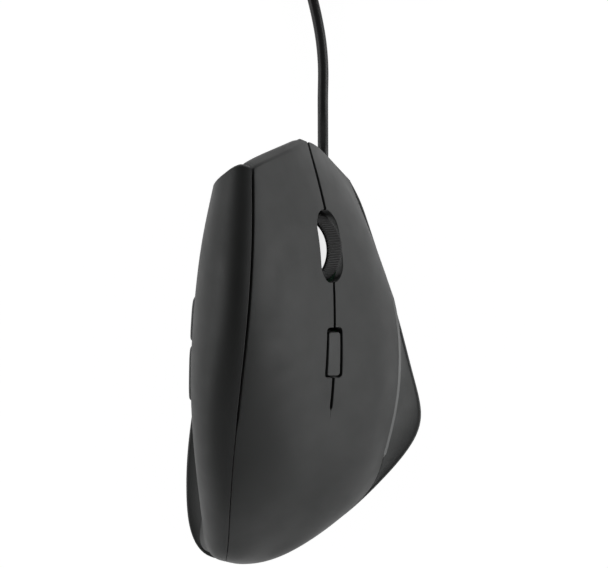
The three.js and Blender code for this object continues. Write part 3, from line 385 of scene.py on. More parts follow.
LOOK = {
    "shell": soft_touch(),
    "base": moulded("base_grey", (0.055, 0.0575, 0.0565), 0.56, 2200, 0.00003),
    "button": moulded("button_grey", (0.05, 0.0525, 0.0515), 0.5, 3000, 0.000014),
    "wheel_rubber": moulded("wheel_rubber", (0.012, 0.012, 0.012), 0.62, 1600, 0.00003),
    "wheel_hub": painted_glow_white(),
    "inner_plastic": moulded("inner_black", (0.02, 0.02, 0.021), 0.55),
    "circuit_board": board_green(),
    "black_parts": moulded("part_black", (0.02, 0.02, 0.02), 0.45),
    "white_plastic": moulded("part_white", (0.75, 0.74, 0.7), 0.45, 1800, 0.00001, 0.03),
    "clear_plastic": clear("lens_clear", (0.9, 0.93, 0.95)),
    "red_lamp": clear("lamp_red", (0.7, 0.06, 0.04)),
    "skate": moulded("skate_black", (0.03, 0.03, 0.03), 0.35, 1200, 0.000008),
    "cord_jacket": moulded("cord_black", (0.022, 0.023, 0.023), 0.42, 1500, 0.000012),
    "plug_plastic": moulded("plug_black", (0.02, 0.021, 0.021), 0.5),
    "tie": moulded("tie_black", (0.012, 0.012, 0.012), 0.8, 4000, 0.00008),
    "steel": metal("steel", (0.62, 0.63, 0.65), 0.3),
    "ribbon": moulded("ribbon_grey", (0.45, 0.46, 0.47), 0.4),
}
GILT = metal("contact_gold", (0.85, 0.62, 0.28), 0.25)
# Lighter than the shells' grey: painted highlight for the lip's bright line, on a smoother finish.
SMOOTH_LIP_PAINTED_HIGHLIGHT = moulded("smooth_lip_painted_highlight", (0.21, 0.215, 0.213), 0.3, 3000, 0.000002, 0.03)


# ------------------------------------------------------------------ meshes
def link(name, data):
    obj = bpy.data.objects.new(name, data)
    bpy.context.scene.collection.objects.link(obj)
    return obj


def solid(name, points, faces, slot=None, angle=40.0):
    """A closed mesh from points in mm, shaded smooth apart from edges sharper than angle."""
    mesh = bpy.data.meshes.new(name)
    mesh.from_pydata((np.asarray(points) * MM).tolist(), [], faces)
    bm = bmesh.new()
    bm.from_mesh(mesh)
    bmesh.ops.remove_doubles(bm, verts=bm.verts, dist=1e-7)
    bmesh.ops.recalc_face_normals(bm, faces=bm.faces)
    bm.to_mesh(mesh)
    bm.free()
    smooth(mesh, angle)
    obj = link(name, mesh)
    if slot:
        mesh.materials.append(LOOK[slot])
    return obj


def smooth(mesh, angle):
    mesh.shade_smooth()
    mesh.set_sharp_from_angle(angle=math.radians(angle))


def loft(name, rings, slot=None, angle=40.0, closed=False):
    """A solid from rings of points, all of the same number. It is capped unless it closes on itself."""
    rings = [np.asarray(r, float) for r in rings]
    n = len(rings[0])
    points = np.concatenate(rings)
    i = np.arange(n)
    j = (i + 1) % n
    faces = []
    pairs = list(range(len(rings) - 1)) + ([len(rings) - 1] if closed else [])
    for r in pairs:
        a, b = r * n, (r + 1) % len(rings) * n
        faces += np.column_stack([a + i, a + j, b + j, b + i]).tolist()
    if not closed:
        for ring, order in ((0, -1), (len(rings) - 1, 1)):
            points = np.vstack([points, rings[ring].mean(0)])
            c = np.full(n, len(points) - 1)
            faces += np.column_stack([ring * n + i, ring * n + j, c])[:, ::order].tolist()
    return solid(name, points, faces, slot, angle)


def level(outline, z):
    """A flat outline at a height."""
    return np.column_stack([outline, np.full(len(outline), z)])


def circle(count):
    """Evenly spaced points of a circle of radius 1, and their angles."""
    turn = np.arange(count) * 2 * math.pi / count
    return np.column_stack([np.cos(turn), np.sin(turn)]), turn


def spin(name, profile, matrix, slot, segments=48, angle=40.0):
    """A round piece about the Z axis of a matrix, from radius and height pairs."""
    outline = circle(segments)[0]
    obj = loft(name, [level(outline * r, z) for r, z in profile], slot, angle)
    obj.data.transform(matrix)
    return obj


def cut(obj, *cutters, folded=False):
    """Cuts the cutters away and removes them. A folded mesh runs through itself at a tight corner."""
    for cutter in cutters:
        change = obj.modifiers.new("cut", "BOOLEAN")
        change.operation = "DIFFERENCE"
        change.solver = "EXACT"
        change.use_self = folded
        change.object = cutter
        mesh = bpy.data.meshes.new_from_object(obj.evaluated_get(bpy.context.evaluated_depsgraph_get()))
        obj.modifiers.clear()
        old, obj.data = obj.data, mesh
        bpy.data.meshes.remove(old)
        bpy.data.objects.remove(cutter)


EASE = 1 - np.cos(np.linspace(0, math.pi / 2, 6))    # lines of a rounded edge, as shares of its radius
# A lip that curls outwards along a border: distances from the border, in mm, and heights above the skin.
LIP = np.array([(0.0, 0.05), (0.0, 0.3), (0.03, 0.4), (0.1, 0.44), (0.25, 0.39), (0.6, 0.23), (0.9, 0.1),
                (1.08, 0.03), (1.3, 0.0)])
CREASE = 1.1               # how softly the face turns into the front bevel
SETTLE = np.array([1, 0.9994, 0.9993])     # keeps the finer surfaces inside the outside sizes of the CAD ones


def grid_lines(count, start, end):
    """Lines across a patch: share of the way, distance past a rounded end, and how far down its curve."""
    first = [(0.0, start * e, 1 - e) for e in EASE] if start else [(0.0, 0.0, 0.0)]
    last = [(1.0, -end * e, 1 - e) for e in EASE[::-1]] if end else [(1.0, 0.0, 0.0)]
    return np.array(first + [(i / count, 0.0, 0.0) for i in range(1, count)] + last).T


def lip_lines(lines, radius):
    """The same lines with those of the first border spaced for a curled lip, and two heights for each of
    them: that of the rounded edge and that of the lip."""
    distance, height = LIP.T
    inside = radius - np.minimum(distance, radius)
    drop = radius - np.sqrt(radius ** 2 - inside ** 2)
    rest = lines[:, len(EASE) + 2:]        # without the two lines that the lip reaches past
    lines = np.concatenate([np.array([0 * distance, distance, 0 * distance]), rest], axis=1)
    return lines, np.concatenate([np.array([-drop, height]), np.zeros((2, rest.shape[1]))], axis=1)


def whole(u):
    return np.ones(np.shape(u))


def patch(name, u_from, u_to, v_from, v_to, rows, columns, radii, nose=None, low=-WALL, fade=(whole, whole),
          curl=None):
    """A moulded piece of the skin. radii round its back, front, first and last border.
    nose gives for each v the way that a bevel past the front goes. fade gives for each u the shares of the
    first and last radius that are left, and curl that of the lip on the first border."""
    back, front, first, last = radii
    lines = grid_lines(columns, first, last)
    heights = np.zeros((2, lines.shape[1]))
    if curl:
        lines, heights = lip_lines(lines, first)
    t, t_offset, t_edge = lines[:, None, :]
    s, s_offset, s_edge = grid_lines(rows, back, 0 if nose else front)[:, :, None]
    middle = np.array(0.5)
    guess = v_from(middle) + (v_to(middle) - v_from(middle)) * t
    start, end = u_from(guess), u_to(guess)
    speed = np.linalg.norm(skin_ways(np.where(s < 0.5, start, end), guess + 0 * s)[0], axis=-1)
    u = start + (end - start) * s + s_offset / speed
    side = np.where(t < 0.5, fade[0](u), fade[1](u))
    v = v_from(u) + (v_to(u) - v_from(u)) * t
    v = v + side * t_offset / np.maximum(np.linalg.norm(skin_ways(u, v)[1], axis=-1), 2)
    reach = np.minimum(np.hypot(s_edge, t_edge), 1)
    radius = (s_edge * np.where(s < 0.5, back, front) + t_edge * side * np.where(t < 0.5, first, last)) \
        / np.maximum(s_edge + t_edge, 1e-9)
    drop = radius * (1 - np.sqrt(1 - reach ** 2))
    if curl:
        share = curl(u)
        drop = drop - heights[0] * (1 - share) - heights[1] * share
    drop = drop[..., None]
    normal = skin_normal(u, v)
    top, under = skin(u, v) - normal * drop, skin(u, v) + normal * low
    if nose:
        side_radius = np.where(t < 0.5, first, last)
        top, under = with_nose(top, under, u, v, normal, nose, front, t_edge, side_radius)
    return slab(name, top, under)


def with_nose(top, under, u, v, normal, nose, radius, side_edge, side_radius):
    """Adds the rows of a bevel past the last row of a patch: a soft crease, the flat and a rounded end."""
    ahead = nose(v[-1])
    length = np.linalg.norm(ahead, axis=-1, keepdims=True)
    way = ahead / length
    forward, round_ = skin_ways(u[-1], v[-1])
    flat_normal = unit(np.cross(way, round_))
    corner = skin(u[-1], v[-1])
    crease = np.minimum(CREASE, length / 3)
    before = corner - unit(forward) * crease
    after = corner + way * crease
    side_drop = (side_radius * (1 - np.sqrt(1 - side_edge ** 2))).reshape(-1, 1)
    rows, lows = [], []
    for t in np.linspace(0, 1, 6):
        rows.append((1 - t) ** 2 * before + 2 * t * (1 - t) * corner + t * t * after
                    - unit(normal[-1] * (1 - t) + flat_normal * t) * side_drop)
        lows.append(under[-1])
    end_radius = np.minimum(radius, length / 3)
    for share in (0.35, 0.7):
        rows.append(after + way * (length - crease - end_radius) * share - flat_normal * side_drop)
        lows.append(under[-1] + ahead * share)
    for e in EASE[::-1]:
        drop = end_radius * (1 - np.sqrt(1 - (1 - e) ** 2))
        rows.append(corner + way * (length - end_radius * e) - flat_normal * np.maximum(drop, side_drop))
        lows.append(under[-1] + ahead)
    return np.concatenate([top[:-1], np.stack(rows)]), np.concatenate([under[:-1], np.stack(lows)])


def slab(name, top, under):
    """A closed mesh between two grids of points."""
    rows, columns = top.shape[:2]
    count = rows * columns
    ids = np.arange(count).reshape(rows, columns)

    def quads(a, b, c, d):
        return np.stack([a, b, c, d], axis=-1).reshape(-1, 4)
    upper = quads(ids[:-1, :-1], ids[:-1, 1:], ids[1:, 1:], ids[1:, :-1])
    faces = [upper, upper[:, ::-1] + count]
    for line in (ids[0], ids[-1][::-1], ids[:, 0][::-1], ids[:, -1]):
        faces.append(quads(line[:-1], line[:-1] + count, line[1:] + count, line[1:]))
    points = np.concatenate([top.reshape(-1, 3), under.reshape(-1, 3)]) * SETTLE
    return solid(name, points, np.concatenate(faces).tolist(), "shell")


def rounded(size, corner, grow=0.0, arc=8, sides=(4, 10)):
    """The outline of a plate with rounded corners, grown outwards, with as many points at any growth."""
    x, y = size[0] / 2 + grow, size[1] / 2 + grow
    corner = corner + grow
    points = []
    for k, (sx, sy) in enumerate(((1, 1), (-1, 1), (-1, -1), (1, -1))):
        centre = np.array([sx * (x - corner), sy * (y - corner)])
        for a in np.linspace(k * math.pi / 2, (k + 1) * math.pi / 2, arc + 1):
            points.append(centre + corner * np.array([math.cos(a), math.sin(a)]))
        following = ((-1, 1), (-1, -1), (1, -1), (1, 1))[k]
        target = np.array([following[0] * (x - corner), following[1] * (y - corner)])
        outward = corner * np.array([math.cos((k + 1) * math.pi / 2), math.sin((k + 1) * math.pi / 2)])
        steps = sides[k % 2]
        for i in range(1, steps):
            points.append(centre + (target - centre) * i / steps + outward)
    return np.array(points)


def skin_ring(place, outline, height, centre=(0.0, 0.0)):
    """An outline laid on the skin, moved along the place's outward axis."""
    x, y = outline[:, 0] + centre[0], outline[:, 1] + centre[1]
    return place.on_skin(x, y + place.shear * x) + place.z * height


def window(place, size, corner, lip, centre=(0.0, 0.0), depth=6.0):
    """A cutter for an opening whose edge is rounded over, following the skin."""
    steps = [(0, -depth), (0, -lip - 1)]
    for a in np.linspace(0, math.pi / 2, 6):
        steps.append((lip * (1 - math.cos(a)), lip * (math.sin(a) - 1) + 0.015))
    steps.append((lip + 0.05, 3.0))
    rings = [skin_ring(place, rounded(size, corner, grow), height, centre) for grow, height in steps]
    return loft("cutter", rings)


def cap(name, place, size, corner, depth, top, edge, crown, centre=(0.0, 0.0), slot="button"):
    """A push button that follows the skin, with a rounded edge and a slightly domed top."""
    rings = [skin_ring(place, rounded(size, corner), -depth, centre)]
    for a in np.linspace(0, math.pi / 2, 7):
        outline = rounded(size, corner, -edge * (1 - math.cos(a)))
        rings.append(skin_ring(place, outline, top - edge * (1 - math.sin(a)), centre))
    inner = rounded(size, corner, -edge)
    for share in (0.9, 0.75, 0.55, 0.35, 0.15):
        rings.append(skin_ring(place, inner * share, top + crown * (1 - share ** 2), centre))
    return loft(name, rings, slot)


class SkinFinder:
    """Finds the point of the skin nearest to each vertex."""

    def __init__(self, rows=70, columns=110):
        u, v = np.meshgrid(np.linspace(0.02, 1, rows), np.linspace(0, LAST, columns), indexing="ij")
        self.u, self.v = u.ravel(), v.ravel()
        points = skin(self.u, self.v)
        self.tree = kdtree.KDTree(len(points))
        for i, p in enumerate(points):
            self.tree.insert(p, i)
        self.tree.balance()

    def find(self, points):
        start = np.array([self.tree.find(p)[1] for p in points])
        u, v = self.u[start], self.v[start]
        for _ in range(4):
            off = points - skin(u, v)
            forward, round_ = skin_ways(u, v)
            a, b, c = (forward * forward).sum(-1), (forward * round_).sum(-1), (round_ * round_).sum(-1)
            x, y = (off * forward).sum(-1), (off * round_).sum(-1)
            turn = np.maximum(a * c - b * b, 1e-9)
            u = np.clip(u + (c * x - b * y) / turn, 0, 1)
            v = np.clip(v + (a * y - b * x) / turn, 0, LAST)
        return u, v


finder = SkinFinder()


def true_normals(obj, reach=0.02):
    """Gives the points that lie on the skin the skin's own normal, so that no cut leaves a mark beside it."""
    mesh = obj.data
    smooth(mesh, 40)
    count = len(mesh.vertices)
    points = np.empty(count * 3)
    mesh.vertices.foreach_get("co", points)
    points = points.reshape(-1, 3) / MM
    u, v = finder.find(points)
    normal = skin_normal(u, v)
    on = np.linalg.norm(points - skin(u, v), axis=-1) < reach
    vertex = np.empty(len(mesh.loops), int)
    mesh.loops.foreach_get("vertex_index", vertex)
    sizes = np.empty(len(mesh.polygons), int)
    mesh.polygons.foreach_get("loop_total", sizes)
    faces = np.empty(len(mesh.polygons) * 3)
    mesh.polygons.foreach_get("normal", faces)
    face = np.repeat(faces.reshape(-1, 3), sizes, axis=0)
    use = on[vertex] & ((face * normal[vertex]).sum(-1) > 0.85)
    given = np.where(use[:, None], normal[vertex], 0.0)
    mesh.normals_split_custom_set(given.tolist())


# ------------------------------------------------------------------ camera
def make_camera():
    data = bpy.data.cameras.new("camera")
    data.sensor_width = 36
    data.lens = 162.2
    data.clip_end = 20
    camera = link("camera", data)
    camera.location = (0, 0.0205, 0.8)
    bpy.context.scene.camera = camera


# ------------------------------------------------------------------ cord
ROUTE_OUT = [(5.5, 57, 7.6), (5.5, 59.7, 7.1), (5.5, 64, 5.2), (5.5, 69, 3), (5.5, 75, 1.75), (5.6, 82, 1.6),
             (5.4, 87, 1.6), (4.8, 92.5, 1.6), (3.7, 98.5, 1.6), (2.3, 104.5, 1.6), (1, 110, 1.6),
             (0.1, 115.5, 1.65), (-0.4, 122, 1.7)]
ROUTE_END = [(-15, 113.65, 11.3), (-9, 113.65, 10.6), (-5, 113.65, 9.3), (-1, 113.65, 7.4), (4, 113.65, 5.2),
             (9, 113.65, 4.2), (15.6, 113.65, 4)]
PITCH = 2 * CORD_RADIUS + 0.03
TURN_POINTS = 24


def coil_points():
    """The turns of the coil, wound outwards and inwards in layers, from its right side."""
    turns = []
    for layer in range(COIL["high"]):
        order = range(COIL["across"]) if layer % 2 == 0 else range(COIL["across"] - 1, -1, -1)
        for k in order:
            turns.append((COIL["radius"] + (1 - k) * PITCH, CORD_RADIUS + 0.05 + layer * PITCH))
    points = []
    change = 0.22                 # the part of a turn in which it moves over to the next
    for i in range(int((len(turns) - 0.25) * TURN_POINTS) + 1):
        turn, share = divmod(i / TURN_POINTS, 1)
        radius, height = turns[int(turn)]
        if share > 1 - change and int(turn) + 1 < len(turns):
            ease = (share - 1 + change) / change
            ease = ease * ease * (3 - 2 * ease)
            following = turns[int(turn) + 1]
            radius += (following[0] - radius) * ease
            height += (following[1] - height) * ease
        angle = 2 * math.pi * share
        away = (angle - TIE["angle"] + math.pi) % (2 * math.pi) - math.pi
        lift = (COIL["foot"] - 0.05) * math.exp(-(away / 0.5) ** 2)
        x, y = COIL["x"] + radius * math.cos(angle), COIL["y"] + radius * math.sin(angle)
        points.append((x, y, height + lift))
    return points


def make_cord():
    """One cord from the strain relief to the plug: a short run, the tied coil and its end."""
    points = np.array(ROUTE_OUT + coil_points() + ROUTE_END)
    data = bpy.data.curves.new("cord", "CURVE")
    data.dimensions = "3D"
    data.bevel_depth = CORD_RADIUS * MM
    data.bevel_resolution = 4
    data.resolution_u = 4
    data.use_fill_caps = True
    line = data.splines.new("BEZIER")
    line.bezier_points.add(len(points) - 1)
    tangent = unit(np.gradient(points, axis=0))
    for i, b in enumerate(line.bezier_points):
        back = np.linalg.norm(points[i] - points[max(i - 1, 0)]) / 3
        ahead = np.linalg.norm(points[min(i + 1, len(points) - 1)] - points[i]) / 3
        b.co = points[i] * MM
        b.handle_left = (points[i] - tangent[i] * back) * MM
        b.handle_right = (points[i] + tangent[i] * ahead) * MM
    data.materials.append(LOOK["cord_jacket"])
    cord = link("cord", data)
    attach(cord, "body")
    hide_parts("cord_run", "cord_coil", "cord_tail")
    return cord, points[0] * MM


def make_plug():
    """The rectangular plug at the cord's end: a ribbed overmould, a folded steel shell and its contacts."""
    centre_y = ROUTE_END[0][1]
    matrix = Matrix(((0, 0, 1), (1, 0, 0), (0, 1, 0))).to_4x4()
    matrix.translation = Vector((PLUG["x"], centre_y, PLUG["z"])) * MM
    size, start, end = (PLUG["width"], PLUG["height"]), PLUG["relief"], PLUG["relief"] + PLUG["length"]

    def ring(grow, z, plate=size, corner=2.0):
        return level(rounded(plate, corner, grow), z)
    profile = [(-1.2, start), (-0.5, start + 0.25), (-0.1, start + 0.8), (0, start + 1.6)]
    for k in range(4):
        z = start + 4.5 + 2.6 * k
        profile += [(0, z), (-0.35, z + 0.25), (-0.35, z + 1.05), (0, z + 1.3)]
    profile += [(0, end - 1.2), (-0.15, end - 0.5), (-0.6, end - 0.12), (-1.1, end)]
    body = loft("plug_overmould", [ring(g, z) for g, z in profile], "plug_plastic", 50)
    body.data.transform(matrix)
    relief = [(CORD_RADIUS + 0.08, 0.0), (CORD_RADIUS + 0.5, 0.15)]
    for k in range(4):
        z, r = 0.9 + 1.7 * k, CORD_RADIUS + 0.55 + 0.27 * k
        relief += [(r, z), (r - 0.45, z + 0.2), (r - 0.4, z + 0.75), (r + 0.15, z + 1.0)]
    relief += [(CORD_RADIUS + 1.7, start - 0.3), (CORD_RADIUS + 2.1, start + 0.4)]
    sleeve = spin("plug_relief", relief, matrix, "plug_plastic", 32, 50)
    join(body, sleeve)
    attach(body, "body")
    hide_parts("plug_body")

    mouth = end + 0.3
    plate = (PLUG["shell_width"], PLUG["shell_height"])
    sheet = 0.35
    outer = [ring(-0.02, mouth - 0.25, plate, 0.55), ring(0, mouth, plate, 0.55),
             ring(0, mouth + PLUG["shell_length"] - 0.15, plate, 0.55),
             ring(-0.1, mouth + PLUG["shell_length"], plate, 0.55)]
    inner = [ring(-sheet + 0.1, mouth + PLUG["shell_length"], plate, 0.6),
             ring(-sheet, mouth + PLUG["shell_length"] - 0.12, plate, 0.6),
             ring(-sheet, mouth + 1.4, plate, 0.6)]
    shell = loft("plug_steel_shell", outer + inner, "steel", 50)
    cut(shell, *(prism((2.1, 2.4), 0.3, (side * 2.9, mouth + 6.2), (-4, 4)) for side in (-1, 1)))
    smooth(shell.data, 40)
    shell.data.transform(matrix)
    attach(shell, "body")
    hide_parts("plug_shell")
    contacts = []
    low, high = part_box("plug_tongue")
    for k in range(4):
        y = centre_y + (k - 1.5) * 2.3
        contacts.append(contact(f"plug_contact_{k + 1}", (low.x / MM + 0.8, high.x / MM - 0.4),
                                (y - 0.55, y + 0.55), (high.z / MM - 0.05, high.z / MM + 0.09)))
    return [body, shell, *contacts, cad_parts["plug_tongue"]]


def prism(size, corner, centre, heights):
    """A cutter across the plug shell: its outline lies across and along the plug."""
    outline = rounded(size, corner) + np.array(centre)
    rings = [np.column_stack([outline[:, 0], np.full(len(outline), h), outline[:, 1]]) for h in heights]
    return loft("cutter", rings)


def join(target, *others):
    """Joins other meshes into the target."""
    bm = bmesh.new()
    bm.from_mesh(target.data)
    for obj in others:
        bm.from_mesh(obj.data)
        bpy.data.objects.remove(obj)
    bm.to_mesh(target.data)
    bm.free()


def contact(name, x, y, z, round_edge=0.06):
    """A small gilt plate with eased edges between these bounds."""
    size = (x[1] - x[0], y[1] - y[0])
    centre = np.array([(x[0] + x[1]) / 2, (y[0] + y[1]) / 2])
    corner = min(0.3, min(size) / 3)
    steps = ((0, z[0]), (0, z[1] - round_edge), (-round_edge * 0.3, z[1] - round_edge * 0.3),
             (-round_edge, z[1]))
    rings = [level(rounded(size, corner, grow, 3, (2, 2)) + centre, height) for grow, height in steps]
    obj = loft(name, rings)
    obj.data.materials.append(GILT)
    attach(obj, "body")
    return obj


def make_tie():
    """A flat fabric band round the coil, its end folded back over itself."""
    wide = COIL["across"] * CORD_RADIUS + 0.16
    low, high = TIE["thick"] / 2 + 0.02, COIL["foot"] + 2 * COIL["high"] * CORD_RADIUS + 0.5
    matrix = Matrix.Rotation(TIE["angle"], 4, "Z")
    matrix.translation = Vector((COIL["x"], COIL["y"], 0)) * MM
    outline = rounded((2 * wide + 0.9, high - low), 2.2, 0, 6, (5, 5))
    outline = outline + np.array([COIL["radius"], (high + low) / 2])
    wrap = band(outline, TIE["thick"], TIE["width"], True)
    top = np.argsort(-outline[:, 1])[0]
    fold = outline[(top + np.arange(-8, 9)) % len(outline)]
    fold = fold + unit(fold - outline.mean(0)) * (TIE["thick"] + 0.04)
    join(wrap, band(fold, TIE["thick"] * 0.9, TIE["width"] - 0.8, False))
    wrap.name = "coil_tie"
    wrap.data.transform(matrix)
    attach(wrap, "body")
    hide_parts("cord_tie")
    return wrap


def band(path, thick, width, closed):
    """A strap that follows a path in the X-Z plane, with rounded long edges."""
    tangent = unit(np.roll(path, -1, 0) - np.roll(path, 1, 0) if closed else np.gradient(path, axis=0))
    out = np.column_stack([tangent[:, 1], -tangent[:, 0]])
    section = rounded((thick, width), thick * 0.45, 0, 3, (2, 6))
    across, along_band = section.T
    rings = [np.column_stack([p[0] + n[0] * across, along_band, p[1] + n[1] * across])
             for p, n in zip(path, out)]
    return loft("band", rings, "tie", 50, closed)


# ------------------------------------------------------------------ upper shells and keys
SPLIT_HALF, SPLIT_EDGE = 0.48, 0.15
DPI_WINDOW = (7.3, 14.3)
DPI_FORWARD = 0.3       # the window reaches further forwards than its button
DPI_CAP_MIDDLE = -0.1
LIP_EDGE = 0.75         # rounding of the lower edge over the finger rest

U_FLEX = u_at_y(KEY_SPLIT, -17)        # the line on which the keys bend
FACE = Place(u_at_y(KEY_SPLIT, 31), KEY_SPLIT, shift=0.8)
DPI = Place(u_at_y(KEY_SPLIT, 1.2), KEY_SPLIT, shear=-0.15)
THUMB = Place(u_at_y(7, 4.5), 7.04)


def constant(value):
    return lambda other: np.full(np.shape(other), float(value))


def curve_beside(v, distance):
    return lambda u: beside(u, v, distance)


def u_nose(v):
    """The u at which the left key ends: it ends in one flat across the nose, from the ridge to the split."""
    start, end = along("ridge", np.array(1.0)), along("key_split", np.array(1.0))
    slope = (end[1] - start[1]) / (end[0] - start[0])

    def past(u):
        p = skin(u, v)
        return p[..., 1] - start[1] - slope * (p[..., 0] - start[0])
    v = np.asarray(v, float)
    return solve_u(past, np.full(v.shape, 0.9), np.full(v.shape, 1.03))


def bevel(v):
    """The bevel below that flat: it runs out at the split and sweeps to the thumb side at the ridge."""
    share = 0.07 + 0.93 * np.clip((v - KEY_SPLIT) / 0.3, 0, 1)
    corner = np.clip(v - 3, 0, None)
    way = np.stack([-0.95 - 1.1 * corner, 1.9 - 0.5 * corner, np.full(v.shape, -4.5)], axis=-1)
    return way * share[..., None]


def split_half(u):
    """Half of the gap between the keys; it closes just before the line on which they bend."""
    return np.interp(u, [U_FLEX + 0.014, U_FLEX + 0.019, 0.8, 1], [0.02, SPLIT_HALF, SPLIT_HALF, 0.68])


def split_fade(u):
    return np.interp(u, [U_FLEX + 0.012, U_FLEX + 0.02], [0.1, 1])


def palm_fade(u):
    """The palm's lower edge over the finger rest grows sharp towards the back."""
    return np.interp(u, [0.04, 0.35], [0.2, 1])


def ridge_half(u):
    """Half of the gap along the ridge: open between thumb shell and key, a hairline behind."""
    return np.interp(u, [0.1, U_FLEX - 0.02, U_FLEX], [0.05, 0.07, HALF])


def ridge_fade(u):
    """How rounded the edges of the ridge gap are."""
    return np.interp(u, [0.1, U_FLEX - 0.02, U_FLEX], [0.25, 0.5, 1])


def finger_lip(u):
    """The lip over the finger rest ends sharply at the back and runs out towards the front."""
    return np.interp(u, [0.481, 0.493, 0.8, 0.86], [0, 1, 1, 0])


def right_nose(v):
    """The right key ends in a hardly visible bevel."""
    return np.array([0, 0.25, -0.45]) * np.ones((*np.shape(v), 1))


def make_upper():
    """The palm shell and the two keys, which look like one moulding split by the key line."""
    palm = patch("palm_shell_skin", rim_u, constant(U_FLEX), constant(0),
                 lambda u: beside(u, RIDGE, -ridge_half(u)), 160, 76, (0.4, 0, LIP_EDGE, 0.14),
                 fade=(palm_fade, ridge_fade), curl=finger_lip)
    left = patch("left_key_skin", constant(U_FLEX), u_nose, lambda u: beside(u, KEY_SPLIT, split_half(u)),
                 curve_beside(RIDGE, -HALF), 140, 48, (0, 0.4, SPLIT_EDGE, 0.22), bevel,
                 fade=(split_fade, whole))
    right = patch("right_key_skin", constant(U_FLEX), constant(1), constant(0),
                  lambda u: beside(u, KEY_SPLIT, -split_half(u)), 140, 56, (0, 0.4, LIP_EDGE, SPLIT_EDGE),
                  right_nose, fade=(whole, split_fade), curl=finger_lip)
    for key in (left, right):
        cut(key, window(FACE, WHEEL_SLOT, WHEEL_SLOT[0] / 2 - 0.5, 0.3, (SLOT_MIDDLE, 0)))
        cut(key, window(DPI, DPI_WINDOW, 1.3, 0.2, (0, DPI_FORWARD)))
    for obj, body, node in ((palm, "body", "palm_shell"), (left, "left_key", "left_key"),
                            (right, "right_key", "right_key")):
        true_normals(obj)
        # The palm and the right key get the lip's painted highlight.
        if obj != left:
            paint_lip_highlight(obj)
        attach(obj, body)
        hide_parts(node)


def paint_lip_highlight(obj):
    """The lip over the finger rest gets a smoother finish and a lighter grey than the soft paint: the
    smoothness is its surface, the lighter grey is painted highlight for the bright line along the lip's edge.
    """
    mesh = obj.data
    values = np.empty((2, len(mesh.polygons) * 3))
    mesh.polygons.foreach_get("center", values[0])
    mesh.polygons.foreach_get("normal", values[1])
    centre, facing = values.reshape(2, -1, 3)
    u, v = finder.find(centre / MM)
    rise = ((centre / MM - skin(u, v)) * skin_normal(u, v)).sum(-1)
    use = (v < 0.3) & (rise > 0.05) & (rise < 0.6) & ((facing * skin_normal(u, v)).sum(-1) > 0.6)
    mesh.materials.append(SMOOTH_LIP_PAINTED_HIGHLIGHT)
    mesh.polygons.foreach_set("material_index", use.astype(np.int32))


BUTTON_WIDTH = 7.7
BUTTON_SIDE = -0.6          # the middle of both, across
BUTTONS = {"forward_button": (6.93, 12.4), "back_button": (-8.6, 15.75)}    # middle and length


def make_thumb_side():
    """The thumb shell with its two windows, and the two buttons that stand in them."""
    shell = patch("thumb_shell_skin", rim_u, constant(1.005), lambda u: beside(u, RIDGE, ridge_half(u)),
                  constant(LAST), 150, 120, (0.4, 1.5, 0.2, 0.5), fade=(ridge_fade, whole))
    for name, (middle, length) in BUTTONS.items():
        size = (BUTTON_WIDTH + 2 * BUTTON_GAP, length + 2 * BUTTON_GAP)
        cut(shell, window(THUMB, size, 2.2 + BUTTON_GAP, 0.3, (BUTTON_SIDE, middle)))
        button = cap(f"{name}_cap", THUMB, (BUTTON_WIDTH, length), 2.2, 1.8, BUTTON_PROUD - 0.25, 0.85, 0.25,
                     (BUTTON_SIDE, middle))
        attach(button, name)
        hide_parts(name)
    true_normals(shell)
    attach(shell, "body")
    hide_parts("thumb_shell")


def make_dpi_button():
    """The long button behind the wheel."""
    button = cap("resolution_button_cap", DPI, DPI_CAP, 1.0, 3.0, 0.05, 0.35, 0.2, (0, DPI_CAP_MIDDLE))
    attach(button, "dpi_button")
    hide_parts("dpi_button")


# ------------------------------------------------------------------ wheel
TYRE_INSIDE = WHEEL_RADIUS - TYRE_DEPTH
CROWN = WHEEL_RADIUS - 0.5
RIBS, RIB_STEPS, RIB_DEPTH = 90, 8, 0.34
HUB_HALF = WHEEL_WIDTH / 2 - 0.3


def make_tyre(matrix):
    """A rubber tyre with ribs across its tread."""
    outline, turn = circle(RIBS * RIB_STEPS)
    rise = np.clip(0.5 + 0.9 * np.cos(turn * RIBS), 0, 1)          # 1 on a rib, 0 between two
    tread = WHEEL_WIDTH / 2 - 0.05
    outer = [(TYRE_INSIDE + 0.02, -tread + 0.1, 0), (TYRE_INSIDE + 0.3, -tread, 0),
             (CROWN - 0.32, -tread + 0.15, 0.3), (CROWN - 0.1, -tread + 0.4, 0.8), (CROWN, -tread + 0.8, 1)]
    flat = [(CROWN, z, 1) for z in np.linspace(-tread + 1.5, tread - 1.5, 5)]
    profile = outer + flat + [(r, -z, share) for r, z, share in outer[::-1]] + [(TYRE_INSIDE + 0.02, 0, 0)]
    rings = [level(outline * (r - RIB_DEPTH * share * (1 - rise))[:, None], z) for r, z, share in profile]
    tyre = loft("wheel_tyre_ribbed", rings, "wheel_rubber", 50, True)
    tyre.data.transform(matrix)
    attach(tyre, "wheel")
    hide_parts("wheel_tyre")


def make_hub(matrix):
    """The white hub, with a round groove in each side."""
    half, bore = HUB_HALF, AXLE_RADIUS + 0.1
    side = [(bore, half - 0.3), (2.6, half - 0.3), (2.8, half - 0.5), (3.0, half - 0.9),
            (3.3, half - 1.1), (4.0, half - 1.1), (4.4, half - 0.9), (4.7, half - 0.25), (4.9, half - 0.05),
            (5.2, half), (TYRE_INSIDE - 0.12, half), (TYRE_INSIDE, half - 0.12)]
    profile = [(r, -z) for r, z in side] + side[::-1] + [(bore, 0)]
    hub = spin("wheel_hub_white", profile, matrix, "wheel_hub", 96, 35)
    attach(hub, "wheel")
    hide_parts("wheel_hub")


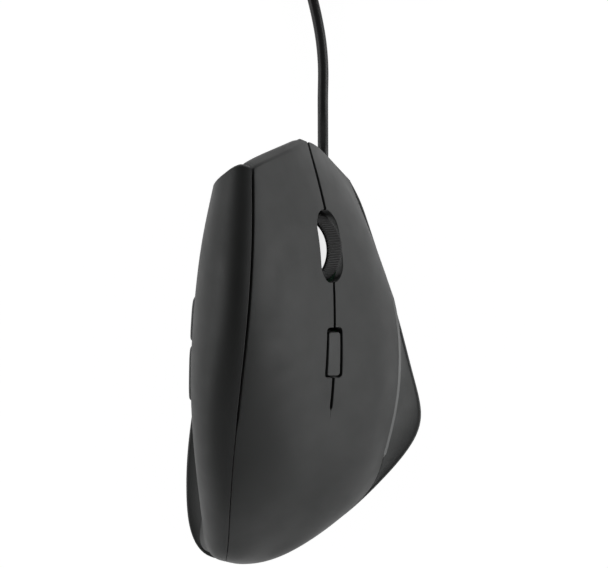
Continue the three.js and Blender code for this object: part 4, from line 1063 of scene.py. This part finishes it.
def make_wheel():
    middle = Matrix.Translation((WHEEL_SHIFT * MM, 0, (WHEEL_PROUD - WHEEL_RADIUS) * MM))
    matrix = FACE.matrix() @ middle @ Matrix.Rotation(math.pi / 2, 4, "Y")
    make_tyre(matrix)
    make_hub(matrix)


# ------------------------------------------------------------------ base
def spaced(points, count):
    """The same line as evenly spaced points, without its last one."""
    length = np.concatenate([[0], np.cumsum(np.linalg.norm(np.diff(points, axis=0), axis=1))])
    wanted = np.linspace(0, length[-1], count + 1)[:-1]
    return np.column_stack([np.interp(wanted, length, points[:, k]) for k in range(3)])


def closed_loop(right, left):
    """The loop round the body: up the right side, across the front, and back down the left."""
    t = np.linspace(0, 1, 30)[:, None]
    front = right[-1] * (1 - t) + left[0] * t + np.array([0, 2.2 * 4, 0]) * t * (1 - t)
    return np.concatenate([spaced(right, 132), spaced(front, 24), spaced(left, 108)])


def inward(ring, distance, z=None):
    """A loop moved towards its inside."""
    way = np.roll(ring, 1, 0) - np.roll(ring, -1, 0)
    normal = unit(np.column_stack([way[:, 1], -way[:, 0]]))
    moved = ring.copy()
    moved[:, :2] += normal * distance
    if z is not None:
        moved[:, 2] = z
    return moved


def foot_line(u, v):
    """The line under the lower edge of the upper shells, on which the base ends."""
    line = skin(u, v)
    line[:, 2] -= WALL * skin_normal(u, v)[:, 2] + SEAM + 0.8
    return line


SKATES = ("front_skate", "rear_skate", "side_skate")
EDGE_RADIUS = 0.7          # of the finger rests' outer edge
SCREW_HOLE, SCREW_TOP = 4.8, 2.3
LENS_WINDOW, LENS_MIDDLE = (15, 11), (0, 6)


def make_base():
    """The base: a flat floor, a rounded skirt, the finger rests and the slots in its underside."""
    t = np.linspace(0, 1, 400)
    edge = closed_loop(along("right_edge", t), along("left_edge", 1 - t))
    rear = np.linspace(RIDGE, 0, 60)
    start = rim_u(np.array(0.0))
    right = np.concatenate([foot_line(rim_u(rear), rear),
                            foot_line(start + (1 - start) * t[1:], np.zeros(len(t) - 1))])
    start = rim_u(np.array(LAST))
    rear = np.linspace(LAST, RIDGE, 60)[1:]
    left = np.concatenate([foot_line(1 - (1 - start) * t, np.full(len(t), LAST)),
                           foot_line(rim_u(rear), rear)])
    foot = closed_loop(right, left)
    underside = ((4, 0), (1.9, 0), (1.45, 0.08), (1.0, 0.3), (0.6, 0.7))
    rings = [inward(edge, distance, FLOOR_BOTTOM + rise) for distance, rise in underside]
    skirt = edge.copy()
    skirt[:, 2] = np.maximum(edge[:, 2] - 0.9, FLOOR_BOTTOM + 1.1)
    rings.append(inward(skirt, 0.18))
    for a in np.linspace(0, math.pi / 2, 6):
        ring = inward(edge, EDGE_RADIUS * (1 - math.cos(a)) + 0.02)
        ring[:, 2] += EDGE_RADIUS * (math.sin(a) - 1)
        rings.append(ring)
    brink = rings[-1]
    for s in (0.08, 0.2, 0.35, 0.5, 0.65, 0.8, 0.9, 0.97, 1.0):
        ring = brink * (1 - s) + foot * s
        ring[:, 2] = brink[:, 2] + (foot[:, 2] - brink[:, 2]) * (s - 0.45 * s * (1 - s))
        rings.append(ring)
    rings += [inward(foot, 0.4), inward(foot, 3), inward(foot, 3.2, FLOOR_TOP)]
    base = loft("base_shell_skin", [ring * SETTLE for ring in rings], "base")
    cutters = [recess(node, 0.25) for node in SKATES]
    cutters.append(plate_cutter(LENS_WINDOW, 2, LENS_MIDDLE, (-1, FLOOR_TOP + 1)))
    for k in (1, 2, 3):
        low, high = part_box(f"base_screw_{k}")
        centre = (low + high) / 2 / MM
        hole = (SCREW_HOLE, SCREW_HOLE)
        cutters.append(plate_cutter(hole, SCREW_HOLE / 2 - 0.01, (centre.x, centre.y), (-1, SCREW_TOP)))
    cut(base, *cutters, folded=True)
    smooth(base.data, 40)
    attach(base, "body")
    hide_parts("base_shell")


def plate_cutter(size, corner, centre, heights):
    """A cutter straight up between two heights."""
    outline = rounded(size, corner) + np.array(centre)
    return loft("cutter", [level(outline, h) for h in heights])


def node_outline(node):
    """The corner points of a flat CAD plate, in order round it."""
    points = np.array([v.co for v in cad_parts[node].data.vertices]) / MM
    flat = np.unique(np.round(points[:, :2], 3), axis=0)
    centre = flat.mean(0)
    order = np.argsort(np.arctan2(flat[:, 1] - centre[1], flat[:, 0] - centre[0]))
    return flat[order], centre, points[:, 2].max()


def recess(node, grow):
    """A cutter for the shallow pocket that a skate is glued in."""
    outline, centre, top = node_outline(node)
    outline = outline + unit(outline - centre) * grow
    return loft("cutter", [level(outline, h) for h in (-1, top + 0.25)])


def make_skates():
    """Low-friction pads with a rounded running edge, in the places of the CAD ones."""
    for node in SKATES:
        outline, centre, top = node_outline(node)
        steps = ((0, top), (0, 0.4), (0.12, 0.14), (0.35, 0.02), (0.8, 0))
        rings = [level(outline - unit(outline - centre) * inset, z) for inset, z in steps]
        pad = loft(f"{node}_pad", rings, "skate")
        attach(pad, "body")
        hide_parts(node)


def exit_matrix():
    """The frame of the cord outlet, its Z axis straight out of the nose."""
    matrix = Matrix.Rotation(-math.pi / 2, 4, "X")
    matrix.translation = Vector((EXIT["x"], EXIT["y"], EXIT["z"])) * MM
    return matrix


PANEL = {"back": 1.4, "thick": 1.8, "crown": 0.8}      # how far it stands behind the edges of the shells


def panel_row(h):
    """A row across the front panel, from the right key to the thumb shell and back behind itself."""
    end, low, high = np.array(1.0), h * 3.9, 8.95 - h * 3.6
    right = skin(end, low) - skin_normal(end, low) * (WALL + KEY_TRAVEL + 0.5)
    left = skin(end, high) - skin_normal(end, high) * (WALL + 0.6)
    middle = right * 0.55 + left * 0.45 + np.array([0, PANEL["crown"], 0])
    control = 2 * middle - (right + left) / 2
    t = np.linspace(0, 1, 25)[:, None]
    row = (1 - t) ** 2 * right + 2 * t * (1 - t) * control + t * t * left - np.array([0, PANEL["back"], 0])
    return np.concatenate([row, row[::-1] - np.array([0, PANEL["thick"], 0])])


def make_front():
    """The panel that closes the nose, standing on the base."""
    rings = [panel_row(h) for h in np.linspace(0.04, 0.94, 60)]
    left, right = foot_line(np.ones(2), np.array([LAST, 0.0]))
    seat = rings[0].copy()
    seat[:, 2] = np.minimum(np.interp(seat[:, 0], [left[0], right[0]], [left[2], right[2]]) + SEAM,
                            seat[:, 2] - 0.05)
    panel = loft("front_panel_skin", [seat, *rings], "base")
    hole = EXIT["neck"] + 0.35
    cut(panel, spin("cutter", [(hole, -7), (hole, 12)], exit_matrix(), None), folded=True)
    smooth(panel.data, 40)
    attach(panel, "body")
    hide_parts("front_panel")


def make_relief():
    """The ringed sleeve that keeps the cord from kinking at the nose, with a collar behind the panel."""
    neck, end = EXIT["neck"], EXIT["end"]
    profile = [(CORD_RADIUS, -5.5), (3.3, -5.5), (3.4, -5.3), (3.4, -4.5), (3.3, -4.3), (neck, -4.3),
               (neck, 1.0)]
    for k in range(4):
        z = 1.1 + 1.2 * k
        r = neck - 0.11 * (k + 1)
        profile += [(r, z), (r - 0.28, z + 0.12), (r - 0.28, z + 0.45), (r - 0.04, z + 0.6)]
    profile += [(CORD_RADIUS + 0.3, end - 0.3), (CORD_RADIUS + 0.1, end), (CORD_RADIUS, end)]
    relief = spin("strain_relief_sleeve", profile, exit_matrix(), "cord_jacket", 40, 40)
    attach(relief, "body")
    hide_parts("strain_relief")


# ------------------------------------------------------------------ CAD nodes that stay
def dress_nodes():
    """Gives each CAD node that still shows its material."""
    finish = {
        "wheel_axle": "steel", "wheel_cradle": "inner_plastic", "inner_frame": "inner_plastic",
        "key_board": "circuit_board", "thumb_board": "circuit_board", "main_board": "circuit_board",
        "sensor_lens": "clear_plastic", "sensor_led": "red_lamp", "ribbon_cable": "ribbon",
        "cord_connector": "white_plastic", "ribbon_connector": "white_plastic",
        "plug_tongue": "white_plastic",
    }
    for name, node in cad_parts.items():
        slot = finish.get(name, "black_parts")
        if "screw" in name:
            slot = "steel"
        if name.endswith("_plunger"):
            slot = "white_plastic"
        node.data.materials.clear()
        node.data.materials.append(LOOK[slot])


# ------------------------------------------------------------------ floor and light
def make_floor():
    """A plain pale floor that the camera sees as white, with the object's soft shadow on it."""
    mesh = bpy.data.meshes.new("floor")
    side, z = 6, -0.0002           # just below the pads that the object stands on
    corners = [(-side, -side, z), (side, -side, z), (side, side, z), (-side, side, z)]
    mesh.from_pydata(corners, [], [(0, 1, 2, 3)])
    floor = link("floor", mesh)
    material, tree, shader = new_material("floor_white", (0.8, 0.8, 0.8), 0.9)
    shader.inputs["Specular IOR Level"].default_value = 0.1
    glow = add_node(tree, "ShaderNodeEmission", {"Strength": 1.22})
    mix = tree.nodes.new("ShaderNodeMixShader")
    rays = tree.nodes.new("ShaderNodeLightPath")
    reflected = tree.nodes.new("ShaderNodeMath")
    reflected.operation = "MULTIPLY"
    reflected.inputs[1].default_value = 0.5
    tree.links.new(rays.outputs["Is Glossy Ray"], reflected.inputs[0])
    share = tree.nodes.new("ShaderNodeMath")
    share.operation = "MULTIPLY_ADD"
    share.inputs[1].default_value = 0.8
    tree.links.new(rays.outputs["Is Camera Ray"], share.inputs[0])
    tree.links.new(reflected.outputs[0], share.inputs[2])
    tree.links.new(share.outputs[0], mix.inputs["Fac"])
    tree.links.new(shader.outputs["BSDF"], mix.inputs[1])
    tree.links.new(glow.outputs["Emission"], mix.inputs[2])
    tree.links.new(mix.outputs[0], tree.nodes["Material Output"].inputs["Surface"])
    mesh.materials.append(material)


def make_lights():
    """Two large softboxes at the sides, weaker ones behind and in front, and a dim room."""
    for name, place, size, energy in (
        ("left_box", (-1.0, 0.0, 0.3), (1.4, 0.4), 4),
        ("right_box", (1.0, -0.1, 0.2), (1.4, 0.4), 5.5),
        ("rear_box", (0.3, -1.1, 0.1), (1.0, 0.2), 0.5),
        ("front_box", (0.0, 1.2, 0.3), (1.2, 0.4), 1.5),
    ):
        data = bpy.data.lights.new(name, "AREA")
        data.shape = "RECTANGLE"
        data.size, data.size_y = size
        data.energy = energy
        lamp = link(name, data)
        lamp.location = place
        lamp.rotation_euler = (Vector((0, 0, 0.03)) - Vector(place)).to_track_quat("-Z", "Y").to_euler()
    world = bpy.data.worlds.new("room")
    world.use_nodes = True
    tree = world.node_tree
    room = tree.nodes["Background"]
    set_inputs(room, {"Color": (1, 1, 1, 1), "Strength": 0.06})
    seen = add_node(tree, "ShaderNodeBackground", {"Strength": 1})
    mix = tree.nodes.new("ShaderNodeMixShader")
    rays = tree.nodes.new("ShaderNodeLightPath")
    tree.links.new(rays.outputs["Is Camera Ray"], mix.inputs["Fac"])
    tree.links.new(room.outputs[0], mix.inputs[1])
    tree.links.new(seen.outputs[0], mix.inputs[2])
    tree.links.new(mix.outputs[0], tree.nodes["World Output"].inputs["Surface"])
    bpy.context.scene.world = world


make_camera()
cord, cord_exit = make_cord()
tie = make_tie()
plug_pieces = make_plug()
dress_nodes()
make_upper()
make_thumb_side()
make_dpi_button()
make_wheel()
make_base()
make_skates()
make_front()
make_relief()
make_floor()
make_lights()
bpy.context.scene.view_settings.view_transform = "Standard"
